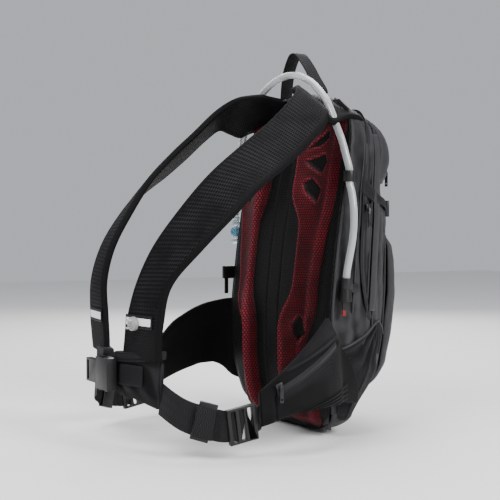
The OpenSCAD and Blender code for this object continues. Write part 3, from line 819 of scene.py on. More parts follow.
def make_body():
    def place(s, t):
        angle = 180 * s
        z = FOOT + (447.5 - FOOT) * t
        return shell_point(angle, z, 0.3 + max(body_wrinkle(angle, z), -2.0)
                           * ease(t * 14) * ease((1 - t) * 14))

    def foot(s, t):
        rim = shell_point(180 * s, FOOT, 0.3)
        share = 0.02 + 0.98 * t
        low = FOOT * (1 - math.sqrt(max(1 - share ** 2.4, 0))) * MM
        middle = -0.012
        return Vector((rim.x * share, middle + (rim.y - middle) * share, low + 0.0018))

    skin = cloth("body_skin", 200, 160, place, (0.44, 0.445))
    walled(skin, 0.0018, -1.0)
    finish_piece(skin, looks()["pack"], "pack", "main_shell")
    sole = cloth("bottom_cloth", 100, 24, foot, (0.44, 0.06))
    walled(sole, 0.0018, 1.0)
    finish_piece(outward(sole), looks()["panel"], "pack", "base_panel")
    beads = []
    for angle, off, low, high, radius in PIPES:
        for hand in (1, -1):
            path = []
            for k in range(90):
                z = low + (high - low) * k / 89
                a = angle if hand > 0 else 180 - angle
                p = shell_point(a, z, off)
                path.append(p)
            beads.append(tube("bead", path, radius * MM, 8))
    finish_piece(joined("body_piping", beads), looks()["piping"], "pack")


def pocket_point(angle, z, crown, low, high, puff, seed):
    """A crowned pocket between two angles, with slack folds, in metres."""
    k = (angle - low) / (high - low)
    swell = 0.10 + 0.90 * math.sqrt(max(math.sin(math.pi * k), 0))
    rise = law(z, crown)
    p = shell_point(angle, z, 0)
    fold = ripple((p.x, p.y, p.z * 0.8), 0.045, seed) * 2.4 + ripple(p, 0.017, seed + 4) * 0.8
    fold *= 1 - 0.9 * math.exp(-((z - 352) / 8) ** 2)
    off = 1.4 + rise * swell + fold * min(rise / 9, 1) * puff
    if crown is UPPER_CROWN:
        off -= 0.8 * math.exp(-((z - 352) / 6) ** 2)
    return shell_point(angle, z, max(off, 0.8))


UPPER_CROWN = [(335, 0), (339, 4), (346, 8.5), (356, 11.5), (374, 13.5), (396, 12), (412, 8.5),
               (420, 3), (424, 0)]
FRONT_CROWN = [(56, 0), (60, 5), (68, 11), (90, 16.5), (130, 19), (190, 20.5), (230, 19),
               (250, 13), (260, 4), (263, 0)]


def make_pockets():
    for name, crown, low, high, node, seed in (
            ("top_pocket", UPPER_CROWN, 30, 150, "upper_pocket", 1.5),
            ("lower_pocket", FRONT_CROWN, 50, 130, "front_pocket", 5.2)):
        bottom, top = crown[0][0], crown[-1][0]

        def place(s, t):
            return pocket_point(low + (high - low) * s, bottom + (top - bottom) * t, crown,
                                low, high, 0.8, seed)

        skin = cloth(name, 120, 90, place, (0.24, (top - bottom) * MM))
        walled(skin, 0.0012, -1.0)
        finish_piece(skin, looks()["panel"], "pack", node)
        rim = [shell_point(low + (high - low) * k / 60, top, 1.0) for k in range(61)]
        rim += [shell_point(high, top - (top - bottom) * k / 40, 1.0) for k in range(1, 41)]
        rim += [shell_point(high - (high - low) * k / 60, bottom, 1.0) for k in range(1, 61)]
        rim += [shell_point(low, bottom + (top - bottom) * k / 40, 1.0) for k in range(1, 40)]
        edge = tube(name + "_piping", rim, 0.0014, 8, cyclic=True)
        finish_piece(edge, looks()["piping"], "pack")


HEM = [(3, 118), (11, 126), (18.5, 134), (26.5, 145), (33, 152), (41, 142), (50, 131)]


def make_side_pockets():
    """The stretch pockets, gathered to the peak of the hem at their mouths."""
    for side, hand in SIDES.items():
        def place(s, t):
            angle = 3 + 47 * s
            hem = smooth_hem(angle)
            z = 22 + (hem - 22) * t
            run, fall = (angle - 33) * 2.1, max(152 - z, 4)
            turn = math.atan2(run, fall)
            near = ease((t - 0.25) / 0.4) * ease((1.0 - t) / 0.08)
            pleat = math.sin(turn * 17 + 2 * ripple((run, fall, 0), 30)) * 1.3 * near
            slack = 2.6 * math.sin(math.pi * min(s * 1.1, 1)) * math.sin(math.pi * t) ** 0.8
            p = shell_point(angle, z, 0)
            fold = ripple((p.x, p.y * 1.5, p.z), 0.028, 9.0) * 1.8 * math.sin(math.pi * t)
            crease = 1.2 * math.exp(-((z - 62 - (angle - 20) * 8.3) / 5) ** 2) * ease((80 - abs(
                z - 90)) / 20)
            q = shell_point(angle, z, 1.6 + max(slack + pleat + fold + crease, -0.6))
            return Vector((q.x * hand, q.y, q.z))

        skin = cloth("stretch_pocket_" + side, 120, 90, place, (0.11, 0.11))
        walled(skin, 0.0012, -1.0 * hand)
        outward(skin)
        finish_piece(skin, looks()["stretch"], "pack", "side_pocket_" + side)
        hem = [shell_point(3 + 47 * k / 50, smooth_hem(3 + 47 * k / 50), 2.2)
               for k in range(51)]
        bead = tube("pocket_hem_" + side, [Vector((p.x * hand, p.y, p.z)) for p in hem],
                    0.0016, 8)
        finish_piece(bead, looks()["piping"], "pack")


def smooth_hem(angle):
    """The height of a side pocket's mouth at an angle round the body, in mm."""
    return sum(law(angle + d, HEM) for d in (-2, -1, 0, 1, 2)) / 5


ZIP_HALF = [(24, 156), (19, 180), (15, 215), (13.6, 250), (13.2, 290), (13, 330), (12.5, 365),
            (14, 392), (20, 411), (32, 422), (50, 427), (70, 428.5)]


def surface_strip(name, path, half, off, look, nodes, columns=6, body="pack", lift=None):
    """A flat strip on the D-shaped body along (angle, height) points."""
    mid = [shell_point(a, z, off) for a, z in path]
    out = [(shell_point(a, z, off + 10) - shell_point(a, z, off)).normalized()
           for a, z in path]
    length = run_length(mid)

    def place(s, t):
        p, n = along(mid, t), along(out, t).normalized()
        step = 0.8 / len(mid)
        ahead = (along(mid, t + step) - along(mid, t - step)).normalized()
        side = ahead.cross(n).normalized()
        crown = 0.0 if lift is None else lift(s)
        return p + side * (2 * s - 1) * half + n * crown

    strip = cloth(name, columns, len(path) * 3, place, (2 * half, length))
    walled(strip, 0.0010)
    return finish_piece(strip, look, body, *nodes)


def make_zips():
    half = [(180 - a, z) for a, z in reversed(ZIP_HALF)]
    path = [(p.x, p.y) for p in spline([(a, z, 0) for a, z in ZIP_HALF + [(90, 429)] + half], 4)]

    def coil(s):
        return 0.0011 * math.exp(-((s - 0.5) / 0.17) ** 2)

    surface_strip("main_zip", path, 0.006, 1.1, looks()["zip"], ["main_zip_tape"], 12,
                  lift=coil)
    for side, hand in SIDES.items():
        flap = [(24 + 1.5 * k / 20, 165 + 232 * k / 20) for k in range(21)]
        if hand < 0:
            flap = [(180 - a, z) for a, z in flap]
        surface_strip("zip_flap_" + side, flap, 0.0085, 2.3, looks()["panel"], [], 8,
                      lift=lambda s: 0.0012 * math.sin(math.pi * s))
    for node in ("main_slider_left", "main_slider_right", "pocket_slider"):
        piece = softened(node, 0.0004)
        repaint(piece, "zinc")
    top = [(58 + 64 * k / 40, 352 + 1.5 * math.sin(math.pi * k / 40)) for k in range(41)]
    mid = []
    for a, z in top:
        p = pocket_point(a, z, UPPER_CROWN, 30, 150, 0.8, 1.5)
        out = (shell_point(a, z, 10) - shell_point(a, z, 0)).normalized()
        mid.append(p + out * 0.0004)
    band = [p + Vector((0, 0, -0.005)) for p in mid], [p + Vector((0, 0, 0.005)) for p in mid]

    def place(s, t):
        return along(band[0], t).lerp(along(band[1], t), s) + Vector((0, 0.0006, 0))

    strip = cloth("pocket_zip_tape", 6, 60, place, (0.012, run_length(mid)))
    walled(strip, 0.001)
    finish_piece(outward(strip), looks()["zip"], "pack")


# ---- harness ----

def make_straps():
    inner = spline(ROOT_INNER + STRAP_INNER, 8)
    outer = spline(ROOT_OUTER + STRAP_OUTER, 8)
    for side in SIDES:
        a, b = metres(mirrored(inner, side)), metres(mirrored(outer, side))

        def shape(s, t, up):
            edge = min(s, 1 - s)
            step = 0.7 * MM * (1 - ease((edge - 0.075) / 0.02))
            puff = 0.8 * MM * math.sin(math.pi * s) * up
            return step * math.copysign(1, up) * abs(up) + puff

        piece = padded_band("strap_" + side, a, b,
                            lambda t: (2.5 + (6.5 - 1.5 * abs(t - 0.5)) * ease(t / 0.07)) * MM,
                            columns=44, rows=200, square=0.42, shape=shape)
        trim = piece.data.attributes.new("trim", "FLOAT", "POINT")
        uv = piece.data.uv_layers.active.data
        width = max(d.uv[0] for d in uv) / 2
        for loop, d in zip(piece.data.loops, uv):
            share = d.uv[0] / width
            share = min(share, 2 - share)
            trim.data[loop.vertex_index].value = 1 - ease((min(share, 1 - share) - 0.075)
                                                          / 0.02)
        hand = SIDES[side]
        finish_piece(piece, looks()["knit"], "pack", "shoulder_strap_" + side,
                     "strap_root_" + side,
                     bend=("harness_" + side, (0.095 * hand, -0.012, 0.44),
                           (0.098 * hand, -0.052, 0.44)))


WING_STATIONS = [-34, -48, -60, -66, -72, -80, -92, -106, -122, -138, -152, -163, -171]
# Lower edges and upper edges at places along each wing; the right one hangs a little higher.
WING_LOW = {"left": [(-171, 38.5), (-163, 41), (-152, 45), (-138, 49.5), (-122, 52), (-90, 54.5),
                     (-34, 53)],
            "right": [(-171, 36), (-163, 39), (-152, 44), (-135, 51), (-115, 60), (-93, 68),
                      (-79, 73), (-61, 75), (-47, 68), (-34, 54)]}
WING_HIGH = {"left": [(-171, 80), (-163, 86.6), (-68, 164), (-51, 142), (-34, 124)],
             "right": [(-171, 84), (-163, 93), (-144, 113), (-128, 133), (-97, 153), (-76, 163),
                       (-50, 170), (-34, 171)]}
WING_SEAM = {"left": [(121, 0, 46), (125, -2, 72), (127, -12, 95), (129, -20, 110)],
             "right": [(121, -6, 46), (125, -10, 85), (127, -24, 125), (129, -38, 166)]}


def wing_row(side, t, off):
    """Points along the wing at share t of its height, off the middle surface, in mm."""
    row = [along(spline(WING_SEAM[side], 6), t) + Vector((off, 0, 0))]
    for y in WING_STATIONS:
        low, high = law(y, WING_LOW[side]), law(y, WING_HIGH[side])
        row.append(wing_point(y, low + (high - low) * t, off))
    return row


def wing_relief(y, z, high):
    """Seams, the zip's recess and stitched ribs on a wing's outer face, in mm."""
    seam, zip_z = 140 + (y + 51) * 0.409, 128 + (y + 58) * 0.526
    height = 1.6 * math.exp(-((z - seam) / 2.0) ** 2) * ease((high - z) / 4)
    height -= 1.5 * math.exp(-((z - zip_z) / 3.2) ** 2) * ease((y + 156) / 4)
    height += 1.2 * math.exp(-((z - zip_z + 7) / 2.4) ** 2) * ease((y + 150) / 6)
    height -= 1.0 * math.exp(-((y + 155) / 1.6) ** 2) * ease((zip_z - z) / 5)
    slope = (z - 48) / max(y + 144, 6)
    fan = ease((slope - 0.02) / 0.02) * ease((0.26 - slope) / 0.02) * ease((y + 128) / 10)
    fan *= ease((-24 - y) / 8)
    height += 1.9 * abs(math.sin(slope * 62)) * fan
    return height + 1.2 * ripple((y * MM, z * MM, 0), 0.035, 2.0)


def make_wings():
    for side, hand in SIDES.items():
        def place(s, t):
            turn = 2 * math.pi * s
            c, u = math.cos(turn), math.sin(turn)
            share = (1 - math.copysign(abs(c) ** 0.5, c)) / 2
            lift = math.copysign(abs(u) ** 0.45, u) if abs(u) > 1e-6 else 0.0
            thick = WING_THICK * (1 - 0.25 * ease((t - 0.85) / 0.1)) * (0.55 + 0.45 * ease(t * 4))
            p = spline_point(wing_row(side, share, thick / 2 * lift), t)
            if lift > 0:
                high = law(p.y, WING_HIGH[side])
                p = p + Vector((wing_relief(p.y, p.z, high) * min(lift * 1.5, 1), 0, 0))
            return Vector((p.x * hand, p.y, p.z)) * MM

        columns, rows = ((220, 190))
        piece = closed(cloth("wing_pad_" + side, columns, rows, place, (0.24, 0.14)))
        bend = ("harness_" + side, (0.125 * hand, -0.020, 0.1), (0.134 * hand, -0.056, 0.1))
        finish_piece(piece, looks()["wing"], "pack", "wing_" + side, bend=bend)
        piece.data.materials.append(looks()["wing_pale"])
        piece.data.materials.append(looks()["lining"])
        uv = piece.data.uv_layers.active.data
        for face in piece.data.polygons:
            u = sum(uv[i].uv[0] for i in face.loop_indices) / len(face.loop_indices) / 0.24
            place_y, place_z = face.center.y / MM, face.center.z / MM
            if u > 0.5:
                face.material_index = 2
            elif place_z > 140 + (place_y + 51) * 0.409:
                face.material_index = 1
        line = []
        for k in range(80):
            y = -57 - 97 * k / 79
            p = wing_point(y, 128 + (y + 58) * 0.526, WING_THICK / 2 + 0.2)
            line.append(Vector((p.x * hand, p.y, p.z)) * MM)

        def tape(s, t):
            p = along(line, t)
            up = Vector((0, -0.25, 1)).normalized()
            return p + up * (2 * s - 1) * 0.0048 + Vector((0.0007 * hand, 0, 0)) * (
                math.exp(-((s - 0.5) / 0.2) ** 2))

        strip = cloth("wing_zip_tape_" + side, 10, 120, tape, (0.012, run_length(line)))
        walled(strip, 0.0008)
        finish_piece(outward(strip), looks()["zip"], "pack", bend=bend)
        for node in ("wing_slider_" + side, "wing_pull_" + side):
            part = softened(node, 0.0004)
            repaint(part, "zinc")


def spline_point(row, t):
    """The smooth curve through row at share t."""
    x = min(max(t, 0.0), 1.0) * (len(row) - 1)
    i = min(int(x), len(row) - 2)
    u = x - i
    a, b, c, d = row[max(i - 1, 0)], row[i], row[i + 1], row[min(i + 2, len(row) - 1)]
    return 0.5 * (2 * b + (c - a) * u + (2 * a - 5 * b + 4 * c - d) * u * u
                  + (3 * b - a - 3 * c + d) * u ** 3)


def flat_band(name, inner, outer, thick, look, body, nodes=(), rows=80, columns=10,
              bend=None):
    piece = padded_band(name, inner, outer, thick, columns=columns, rows=rows, square=0.3)
    return finish_piece(piece, look, body, *nodes, bend=bend)


def make_belt():
    """The webbing, the tab that holds each lock, the patches and the chest bands."""
    for side, hand in SIDES.items():
        body = "harness_" + side
        line = spline(WEB_ROUTE, 6)
        half = WEB_LEAN * 19
        low = metres(mirrored([p - half for p in line], side))
        high = metres(mirrored([p + half for p in line], side))
        flat_band("belt_web_" + side, low, high, 1.5 * MM, looks()["webbing"],
                  "lock_" + side, ["webbing_" + side],
                  bend=(body, (0.157 * hand, -0.196, 0.042), (0.152 * hand, -0.218, 0.042)))
        tail = spline([(146, -224, 45), (143.5, -234, 47), (138, -246, 51)], 8)
        fold = Vector((4.6, -2.4, 0))
        flat_band("web_tail_" + side,
                  metres(mirrored([p + fold - WEB_LEAN * 21 for p in tail], side)),
                  metres(mirrored([p + fold + WEB_LEAN * 16 for p in tail], side)),
                  2.2 * MM, looks()["webbing"], body, rows=24)
        tab = [Vector((157, -164, 50)), Vector((157.5, -172, 46)), Vector((157, -181, 44))]
        tab = spline(tab, 8)
        flat_band("lock_tab_" + side,
                  metres(mirrored([p - WEB_LEAN * 17 for p in tab], side)),
                  metres(mirrored([p + WEB_LEAN * 17 for p in tab], side)),
                  2.4 * MM, looks()["webbing"], body, rows=20,
                  bend=("lock_" + side, (0.157 * hand, -0.166, 0.046),
                        (0.157 * hand, -0.178, 0.045)))
        for node in ("ladder_lock_" + side, "keeper_" + side):
            part = softened(node, 0.0012)
            repaint(part, "plastic")
        make_chest_patch(side, body)


def make_chest_patch(side, body):
    hand = SIDES[side]

    def chest(x, z, out=0.0):
        return Vector((x * hand, -292.5 + 0.245 * x - out, z)) * MM

    low = [(3, 74), (12, 70.5), (24, 66), (35, 62.5), (46, 64.5), (60, 62), (76, 59),
           (90, 56.5), (96, 60)]
    high = [(3, 105), (10, 107), (16, 114), (28, 118), (46, 118), (62, 118), (78, 118),
            (92, 118), (99, 112)]

    def shape(s, t, up):
        fan = math.sin(14 * s + 26 * (t - 0.5) * (1 - 0.6 * s)) * 0.5 * MM
        fan *= ease((t - 0.12) * 5) * ease((0.96 - t) * 9)
        fold = ripple((t * 0.1, s * 0.06, hand), 0.03, 6.0) * 1.1 * MM
        stitch = -0.5 * MM * math.exp(-((min(t, 1 - t) - 0.035) / 0.008) ** 2)
        return ((fan + fold) * math.sin(math.pi * s) ** 0.5 + stitch) * (1 if up > 0 else -1)

    patch = padded_band("chest_patch_cloth_" + side, [chest(*p) for p in low],
                        [chest(*p) for p in high], 4.4 * MM, columns=40, rows=80,
                        square=0.32, shape=shape if hand > 0 else None)
    finish_piece(patch, looks()["wing_pale"], body, "chest_patch_" + side)
    sleeve = padded_band("strap_sleeve_" + side,
                         [chest(x, z) for x, z in ((15, 108), (40, 109), (70, 112), (97, 116))],
                         [chest(x, z) for x, z in ((15, 121), (40, 122), (70, 124), (98, 127))],
                         14.0 * MM, columns=24, rows=40, square=0.4,
                         shape=lambda s, t, up: 0.3 * MM * math.sin(s * 14) * up)
    finish_piece(sleeve, looks()["wing_pale"], body)

    def band_edge(z, share, out):
        p = chest_point(share, z)
        return Vector((p.x * hand, p.y - out, p.z)) * MM

    shares = [-0.02, 0.06, 0.14, 0.22, 0.3, 0.38] if hand > 0 else [0.06, 0.14, 0.25, 0.4, 0.62]
    low, high = 80, 106
    flat_band("chest_band_" + side, [band_edge(low, s, 3.4) for s in shares],
                      [band_edge(high, s, 3.4) for s in shares], 1.9 * MM,
                      looks()["wing_pale"], body, ["front_band_" + side], rows=50)
    heights = [156, 160.5, 165]
    offset = STRAP_THICK / 2 + 1.4
    flat_band("reflector_" + side, [band_edge(z, 0.10, offset) for z in heights],
              [band_edge(z, 0.80, offset) for z in heights], 1.2 * MM,
              looks()["reflective"], body, ["reflective_band_" + side], rows=12, columns=30)
    heights = [152, 156, 160, 164, 168.5]
    flat_band("strap_loop_" + side, [band_edge(z, 0.06, offset - 0.9) for z in heights],
              [band_edge(z, 0.84, offset - 0.9) for z in heights], 1.6 * MM,
              looks()["webbing"], body, rows=20, columns=30)


def make_chest_buckle():
    for node in ("chest_socket", "chest_plug", "prong_upper", "prong_lower"):
        part = softened(node, 0.0012 if node.startswith("chest") else 0.0005)
        repaint(part, "plastic")


# ---- drinking hose ----

HOSE_X = 133.2
HOSE_ROUTE = [(HOSE_X, -25, 201), (HOSE_X, -25, 215), (136, -23, 235), (141, -21, 262),
              (142, -20, 290), (138, -20, 316), (HOSE_X, -21, 332), (HOSE_X, -21, 348),
              (130, -24, 366), (125, -27, 386), (118, -30, 404), (110, -31, 420),
              (98, -31, 437), (83, -31, 451), (64, -30, 464), (43, -29, 474), (22, -28, 480),
              (0, -27, 483), (-24, -27, 481), (-48, -28, 474), (-70, -29, 463),
              (-89, -30, 449), (-104, -30, 432), (-116, -30, 412), (-126, -30, 389),
              (-134, -30, 362), (-140, -30, 334), (-142, -30, 310), (-142, -30, 292)]


def make_hose():
    sizes = bpy.context.scene.pack_sizes
    path = metres(spline(HOSE_ROUTE, 4))
    hose = round_curve("drinking_hose", path, sizes.hose_diameter / 2, 7)
    hose.data.splines[0].use_smooth = True
    finish_piece(hose, looks()["hose"], "pack", "hose_tube")
    valve = make_valve()
    run_length(path)
    for node, look, bevel in (("hose_port", "plastic", 0.0008), ("port_tab", "plastic", 0.0004),
                              ("side_hose_clip", "plastic", 0.0005)):
        part = softened(node, bevel)
        repaint(part, look)


def make_valve():
    """The clear connector, the blue shut-off ring and the soft mouthpiece."""
    top = Vector((-142, -30, 292)) * MM
    profile = [(0.0, 0.0), (0.0046, 0.0), (0.0060, -0.0012), (0.0060, -0.0050),
               (0.0052, -0.0058), (0.0052, -0.0080), (0.0060, -0.0088), (0.0060, -0.0135),
               (0.0040, -0.0150), (0.0036, -0.0170), (0.0036, -0.0300), (0.0056, -0.0325),
               (0.0066, -0.0345), (0.0068, -0.0372), (0.0060, -0.0400), (0.0044, -0.0418),
               (0.0018, -0.0420), (0.0, -0.0412)]
    body = lathe("bite_valve", profile, top)
    finish_piece(body, looks()["clear"], "pack", "valve_body")
    ring_profile = [(0.0039, -0.0170), (0.0060, -0.0170), (0.0072, -0.0178), (0.0076, -0.0190),
                    (0.0072, -0.0205), (0.0072, -0.0265), (0.0076, -0.0280),
                    (0.0072, -0.0294), (0.0060, -0.0300), (0.0039, -0.0300),
                    (0.0039, -0.0170)]
    ring = lathe("shut_off_ring", ring_profile, top)
    parts = [ring]
    for k in range(14):
        a = 2 * math.pi * k / 14
        x, y = 0.0073 * math.cos(a), 0.0073 * math.sin(a)
        rib = tube("rib", [top + Vector((x, y, -0.0200)), top + Vector((x, y, -0.0270))],
                   0.0006, 6)
        parts.append(rib)
    lever = tube("lever", [top + Vector((0, -0.0070, -0.0235)),
                           top + Vector((0, -0.0088, -0.0235))], 0.0016, 10)
    parts.append(lever)
    ring = joined("shut_off_ring", parts)
    finish_piece(ring, looks()["blue"], "valve_ring", "valve_ring")
    return [body, ring]


# ---- trimmings ----

def make_trim():
    for side, hand in SIDES.items():
        def place(s, t):
            a = 9 + 48 * s
            low = law(a, [(9, 320), (21.5, 306), (27, 307), (57, 294)])
            high = law(a, [(9, 341), (21.5, 323), (27, 317), (57, 304)])
            p = shell_point(a, low + (high - low) * t, 2.2 + 1.2 * math.sin(math.pi * s))
            return Vector((p.x * hand, p.y, p.z))

        wedge = cloth("compression_wedge_" + side, 40, 12, place, (0.08, 0.024))
        walled(wedge, 0.0018)
        finish_piece(outward(wedge), looks()["stretch"], "pack", "compression_strap_" + side)
        part = softened("compression_buckle_" + side, 0.0009)
        repaint(part, "plastic")
    for node, look, bevel in (("bottom_loop", "webbing", 0.0008),
                              ("side_tab_right", "plastic", 0.0008)):
        part = softened(node, bevel)
        repaint(part, look)
    clip = softened("strap_hose_clip", 0.0008)
    repaint(clip, "grey_plastic")
    make_port_sleeve()
    half = [(45, -3, 456), (43, -4, 463), (34, -8, 478), (24, -11, 494), (9, -13, 510)]
    path = spline(half + [(0, -13, 513)] + [(-x, y, z) for x, y, z in reversed(half)], 5)
    flat_band("haul_loop_web", metres([p + Vector((0, -9.5, 0)) for p in path]),
              metres([p + Vector((0, 9.5, 0)) for p in path]), 2.4 * MM,
              looks()["webbing"], "pack", ["haul_loop"], rows=120, columns=8,
              bend=("haul_loop", (0, -0.003, 0.456), (0, -0.004, 0.468)))
    make_yoke()


def make_port_sleeve():
    """The cloth cone that the hose leaves the pack through, its seam tab and its end tab."""
    start_clean()
    bpy.ops.mesh.primitive_cone_add(vertices=28, radius1=0.0088, radius2=0.0060, depth=0.023,
                                    location=(0.1328, -0.0262, 0.1915))
    sleeve = bpy.context.object
    sleeve.name = sleeve.data.name = "port_sleeve"
    bpy.ops.object.mode_set(mode="EDIT")
    bpy.ops.mesh.select_all(action="SELECT")
    bpy.ops.mesh.bevel(offset=0.0012, segments=3, affect="EDGES")
    bpy.ops.mesh.subdivide(number_cuts=2)
    bpy.ops.object.mode_set(mode="OBJECT")
    settle(sleeve)
    bpy.ops.object.shade_smooth()
    finish_piece(sleeve, LOOKS["plastic"], "pack")
    for name, place, size, look in (
            ("seam_tab", (0.1340, -0.0280, 0.1745), (0.0022, 0.0080, 0.0120), "plastic"),
            ("red_end_tab", (0.1345, -0.0300, 0.1655), (0.0024, 0.0052, 0.0072), "red_tab")):
        start_clean()
        bpy.ops.mesh.primitive_cube_add(size=1, location=place)
        tab = bpy.context.object
        tab.name = tab.data.name = name
        bpy.ops.object.mode_set(mode="EDIT")
        bpy.ops.mesh.select_all(action="SELECT")
        bpy.ops.transform.resize(value=size)
        bpy.ops.mesh.bevel(offset=0.0006, segments=2, affect="EDGES")
        bpy.ops.object.mode_set(mode="OBJECT")
        settle(tab)
        finish_piece(tab, LOOKS[look], "pack")


def make_yoke():
    """The cloth that carries the straps' roots over the pack's top edge."""
    def place(s, t):
        x = (2 * s - 1) * 112
        u = abs(x)
        top = law(u, [(0, 452), (28, 455), (60, 447), (96, 431), (112, 420)])
        y = 22 - 40 * t
        drop = 9 * ease((y - 2) / 20) + 3 * ease((-6 - y) / 10)
        p = Vector((x, y, top - drop)) + Vector((0, 0, ripple((x * MM, y * MM, 0), 0.02) * 0.8))
        return p * MM

    yoke = cloth("strap_yoke", 80, 24, place, (0.224, 0.05))
    walled(yoke, 0.002)
    finish_piece(outward(yoke), looks()["panel"], "pack")


def make_inside():
    """Finishes for the pieces inside, which keep their own solids."""
    for node, look in (("reservoir", "film"), ("reservoir_bar", "blue"),
                       ("inner_hose", "hose"), ("frame_sheet", "plastic")):
        mesh = bpy.data.objects[node].data
        mesh.materials.clear()
        mesh.materials.append(looks()[look])


# ---- stage ----

def make_stage():
    start_clean()
    bpy.ops.mesh.primitive_plane_add(size=8, location=(0, 0, -0.0004))
    floor = bpy.context.object
    floor.name = "floor"
    look = Look("pale_floor", Roughness=0.9, Specular_IOR_Level=0.1)
    look.set(Base_Color=look.mix(look.noise(6.0), (0.78, 0.78, 0.77, 1), (0.82, 0.82, 0.81, 1)))
    floor.data.materials.append(look.material)
    world = bpy.data.worlds.new("studio")
    bpy.context.scene.world = world
    world.use_nodes = True
    world.node_tree.nodes["Background"].inputs[0].default_value = (0.92, 0.94, 1.0, 1)
    world.node_tree.nodes["Background"].inputs[1].default_value = 0.55
    aim = Vector((0.02, -0.08, 0.25))
    for name, place, size, power in (("key", (0.5, -1.5, 1.7), 1.0, 36),
                                     ("side", (1.9, 0.4, 1.2), 0.8, 52),
                                     ("top", (-0.3, 0.1, 2.0), 1.4, 30),
                                     ("back", (-1.4, 0.9, 1.1), 1.2, 20)):
        bpy.ops.object.light_add(type="AREA", location=place)
        lamp = bpy.context.object
        lamp.name = name
        lamp.data.size, lamp.data.energy = size, power
        lamp.rotation_euler = (aim - Vector(place)).to_track_quat("-Z", "Y").to_euler()
    make_camera()


def make_camera():
    """The camera stands on the wearer's left front, level with the pack's middle."""
    heading, aside, pitch = math.radians(58), math.radians(1.46), math.radians(1.2)
    look = Vector((-math.sin(heading), math.cos(heading), 0))
    turn = Matrix.Rotation(aside, 3, "Z")
    look = (turn @ look) * math.cos(pitch) + Vector((0, 0, -math.sin(pitch)))
    bpy.ops.object.camera_add(location=(1.27207, -0.83988, 0.275))
    camera = bpy.context.object
    camera.name = "view"
    camera.rotation_euler = look.to_track_quat("-Z", "Y").to_euler()
    camera.data.lens, camera.data.sensor_width = 78.84, 36
    camera.data.clip_start = 0.05
    bpy.context.scene.camera = camera


# ---- the add-on's settings, operators and panel ----

class PackSizes(bpy.types.PropertyGroup):
    """Sizes and shades of the pack's finish."""

    hose_diameter: bpy.props.FloatProperty(
        name="Hose diameter", description="Outer diameter of the drinking hose",
        default=0.0095, min=0.004, max=0.02, unit="LENGTH")
    cloth_shade: bpy.props.FloatProperty(
        name="Cloth shade", description="How light the pack's cloth is",
        default=0.0062, min=0.0, max=1.0, subtype="FACTOR")
    strap_shade: bpy.props.FloatProperty(
        name="Strap shade", description="How light the straps' knit is",
        default=0.0036, min=0.0, max=1.0, subtype="FACTOR")
    valve_colour: bpy.props.FloatVectorProperty(
        name="Valve colour", description="Colour of the shut-off ring",
        default=(0.22, 0.55, 0.78), size=3, min=0.0, max=1.0, subtype="COLOR")


class Step:
    """What every building operator shares."""

    bl_options = {"REGISTER", "UNDO"}


class PACK_OT_stage(Step, bpy.types.Operator):
    """Add the floor, the lights and the camera"""

    bl_idname = "pack.stage"
    bl_label = "Stage"

    def execute(self, context):
        make_stage()
        return {"FINISHED"}


class PACK_OT_hose(Step, bpy.types.Operator):
    """Add the drinking hose, its valve and its rings"""

    bl_idname = "pack.hose"
    bl_label = "Hose"

    def execute(self, context):
        make_hose()
        return {"FINISHED"}


class PACK_OT_back(Step, bpy.types.Operator):
    """Add the foam back under its air mesh"""

    bl_idname = "pack.back"
    bl_label = "Back panel"

    def execute(self, context):
        make_back()
        return {"FINISHED"}


class PACK_OT_body(Step, bpy.types.Operator):
    """Add the main compartment's cloth and piping"""

    bl_idname = "pack.body"
    bl_label = "Body"

    def execute(self, context):
        make_body()
        return {"FINISHED"}


class PACK_OT_pockets(Step, bpy.types.Operator):
    """Add the upper and lower outer pockets"""

    bl_idname = "pack.pockets"
    bl_label = "Pockets"

    def execute(self, context):
        make_pockets()
        return {"FINISHED"}


class PACK_OT_side_pockets(Step, bpy.types.Operator):
    """Add the stretch pockets"""

    bl_idname = "pack.side_pockets"
    bl_label = "Side pockets"

    def execute(self, context):
        make_side_pockets()
        return {"FINISHED"}


class PACK_OT_zips(Step, bpy.types.Operator):
    """Add the zip tapes, flaps and sliders"""

    bl_idname = "pack.zips"
    bl_label = "Zips"

    def execute(self, context):
        make_zips()
        return {"FINISHED"}


class PACK_OT_straps(Step, bpy.types.Operator):
    """Add the padded shoulder straps"""

    bl_idname = "pack.straps"
    bl_label = "Straps"

    def execute(self, context):
        make_straps()
        return {"FINISHED"}


class PACK_OT_wings(Step, bpy.types.Operator):
    """Add the hip wings and their zips"""

    bl_idname = "pack.wings"
    bl_label = "Wings"

    def execute(self, context):
        make_wings()
        return {"FINISHED"}


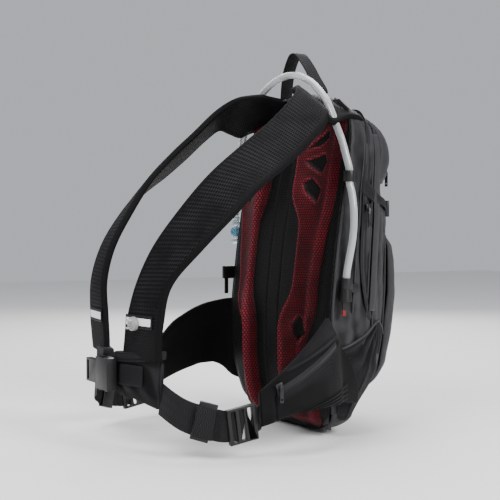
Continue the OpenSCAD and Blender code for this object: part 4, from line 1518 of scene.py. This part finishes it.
class PACK_OT_belt(Step, bpy.types.Operator):
    """Add the webbing, locks, patches and bands"""

    bl_idname = "pack.belt"
    bl_label = "Belt"

    def execute(self, context):
        make_belt()
        return {"FINISHED"}


class PACK_OT_buckle(Step, bpy.types.Operator):
    """Add the chest buckle"""

    bl_idname = "pack.buckle"
    bl_label = "Chest buckle"

    def execute(self, context):
        make_chest_buckle()
        return {"FINISHED"}


class PACK_OT_trim(Step, bpy.types.Operator):
    """Add the loops, tabs and compression straps"""

    bl_idname = "pack.trim"
    bl_label = "Trimmings"

    def execute(self, context):
        make_trim()
        return {"FINISHED"}


class PACK_OT_inside(Step, bpy.types.Operator):
    """Finish the bladder and the frame sheet"""

    bl_idname = "pack.inside"
    bl_label = "Inside"

    def execute(self, context):
        make_inside()
        return {"FINISHED"}


OPERATORS = [
    PACK_OT_stage,
    PACK_OT_hose,
    PACK_OT_back,
    PACK_OT_body,
    PACK_OT_pockets,
    PACK_OT_side_pockets,
    PACK_OT_zips,
    PACK_OT_straps,
    PACK_OT_wings,
    PACK_OT_belt,
    PACK_OT_buckle,
    PACK_OT_trim,
    PACK_OT_inside,
]


class PACK_PT_panel(bpy.types.Panel):
    """Lists the pack's sizes and the operators that build it."""

    bl_label = "Hydration Pack"
    bl_idname = "PACK_PT_panel"
    bl_space_type = "VIEW_3D"
    bl_region_type = "UI"
    bl_category = "Pack"

    def draw(self, context):
        sizes = context.scene.pack_sizes
        for name in ("hose_diameter", "cloth_shade", "strap_shade", "valve_colour"):
            self.layout.prop(sizes, name)
        for made in OPERATORS:
            self.layout.operator(made.bl_idname)


def register():
    for made in (PackSizes, *OPERATORS, PACK_PT_panel):
        bpy.utils.register_class(made)
    bpy.types.Scene.pack_sizes = bpy.props.PointerProperty(type=PackSizes)


def unregister():
    del bpy.types.Scene.pack_sizes
    for made in reversed((PackSizes, *OPERATORS, PACK_PT_panel)):
        bpy.utils.unregister_class(made)


def main():
    register()
    for made in OPERATORS:
        group, name = made.bl_idname.split(".")
        getattr(getattr(bpy.ops, group), name)()


if __name__ == "__main__":
    main()
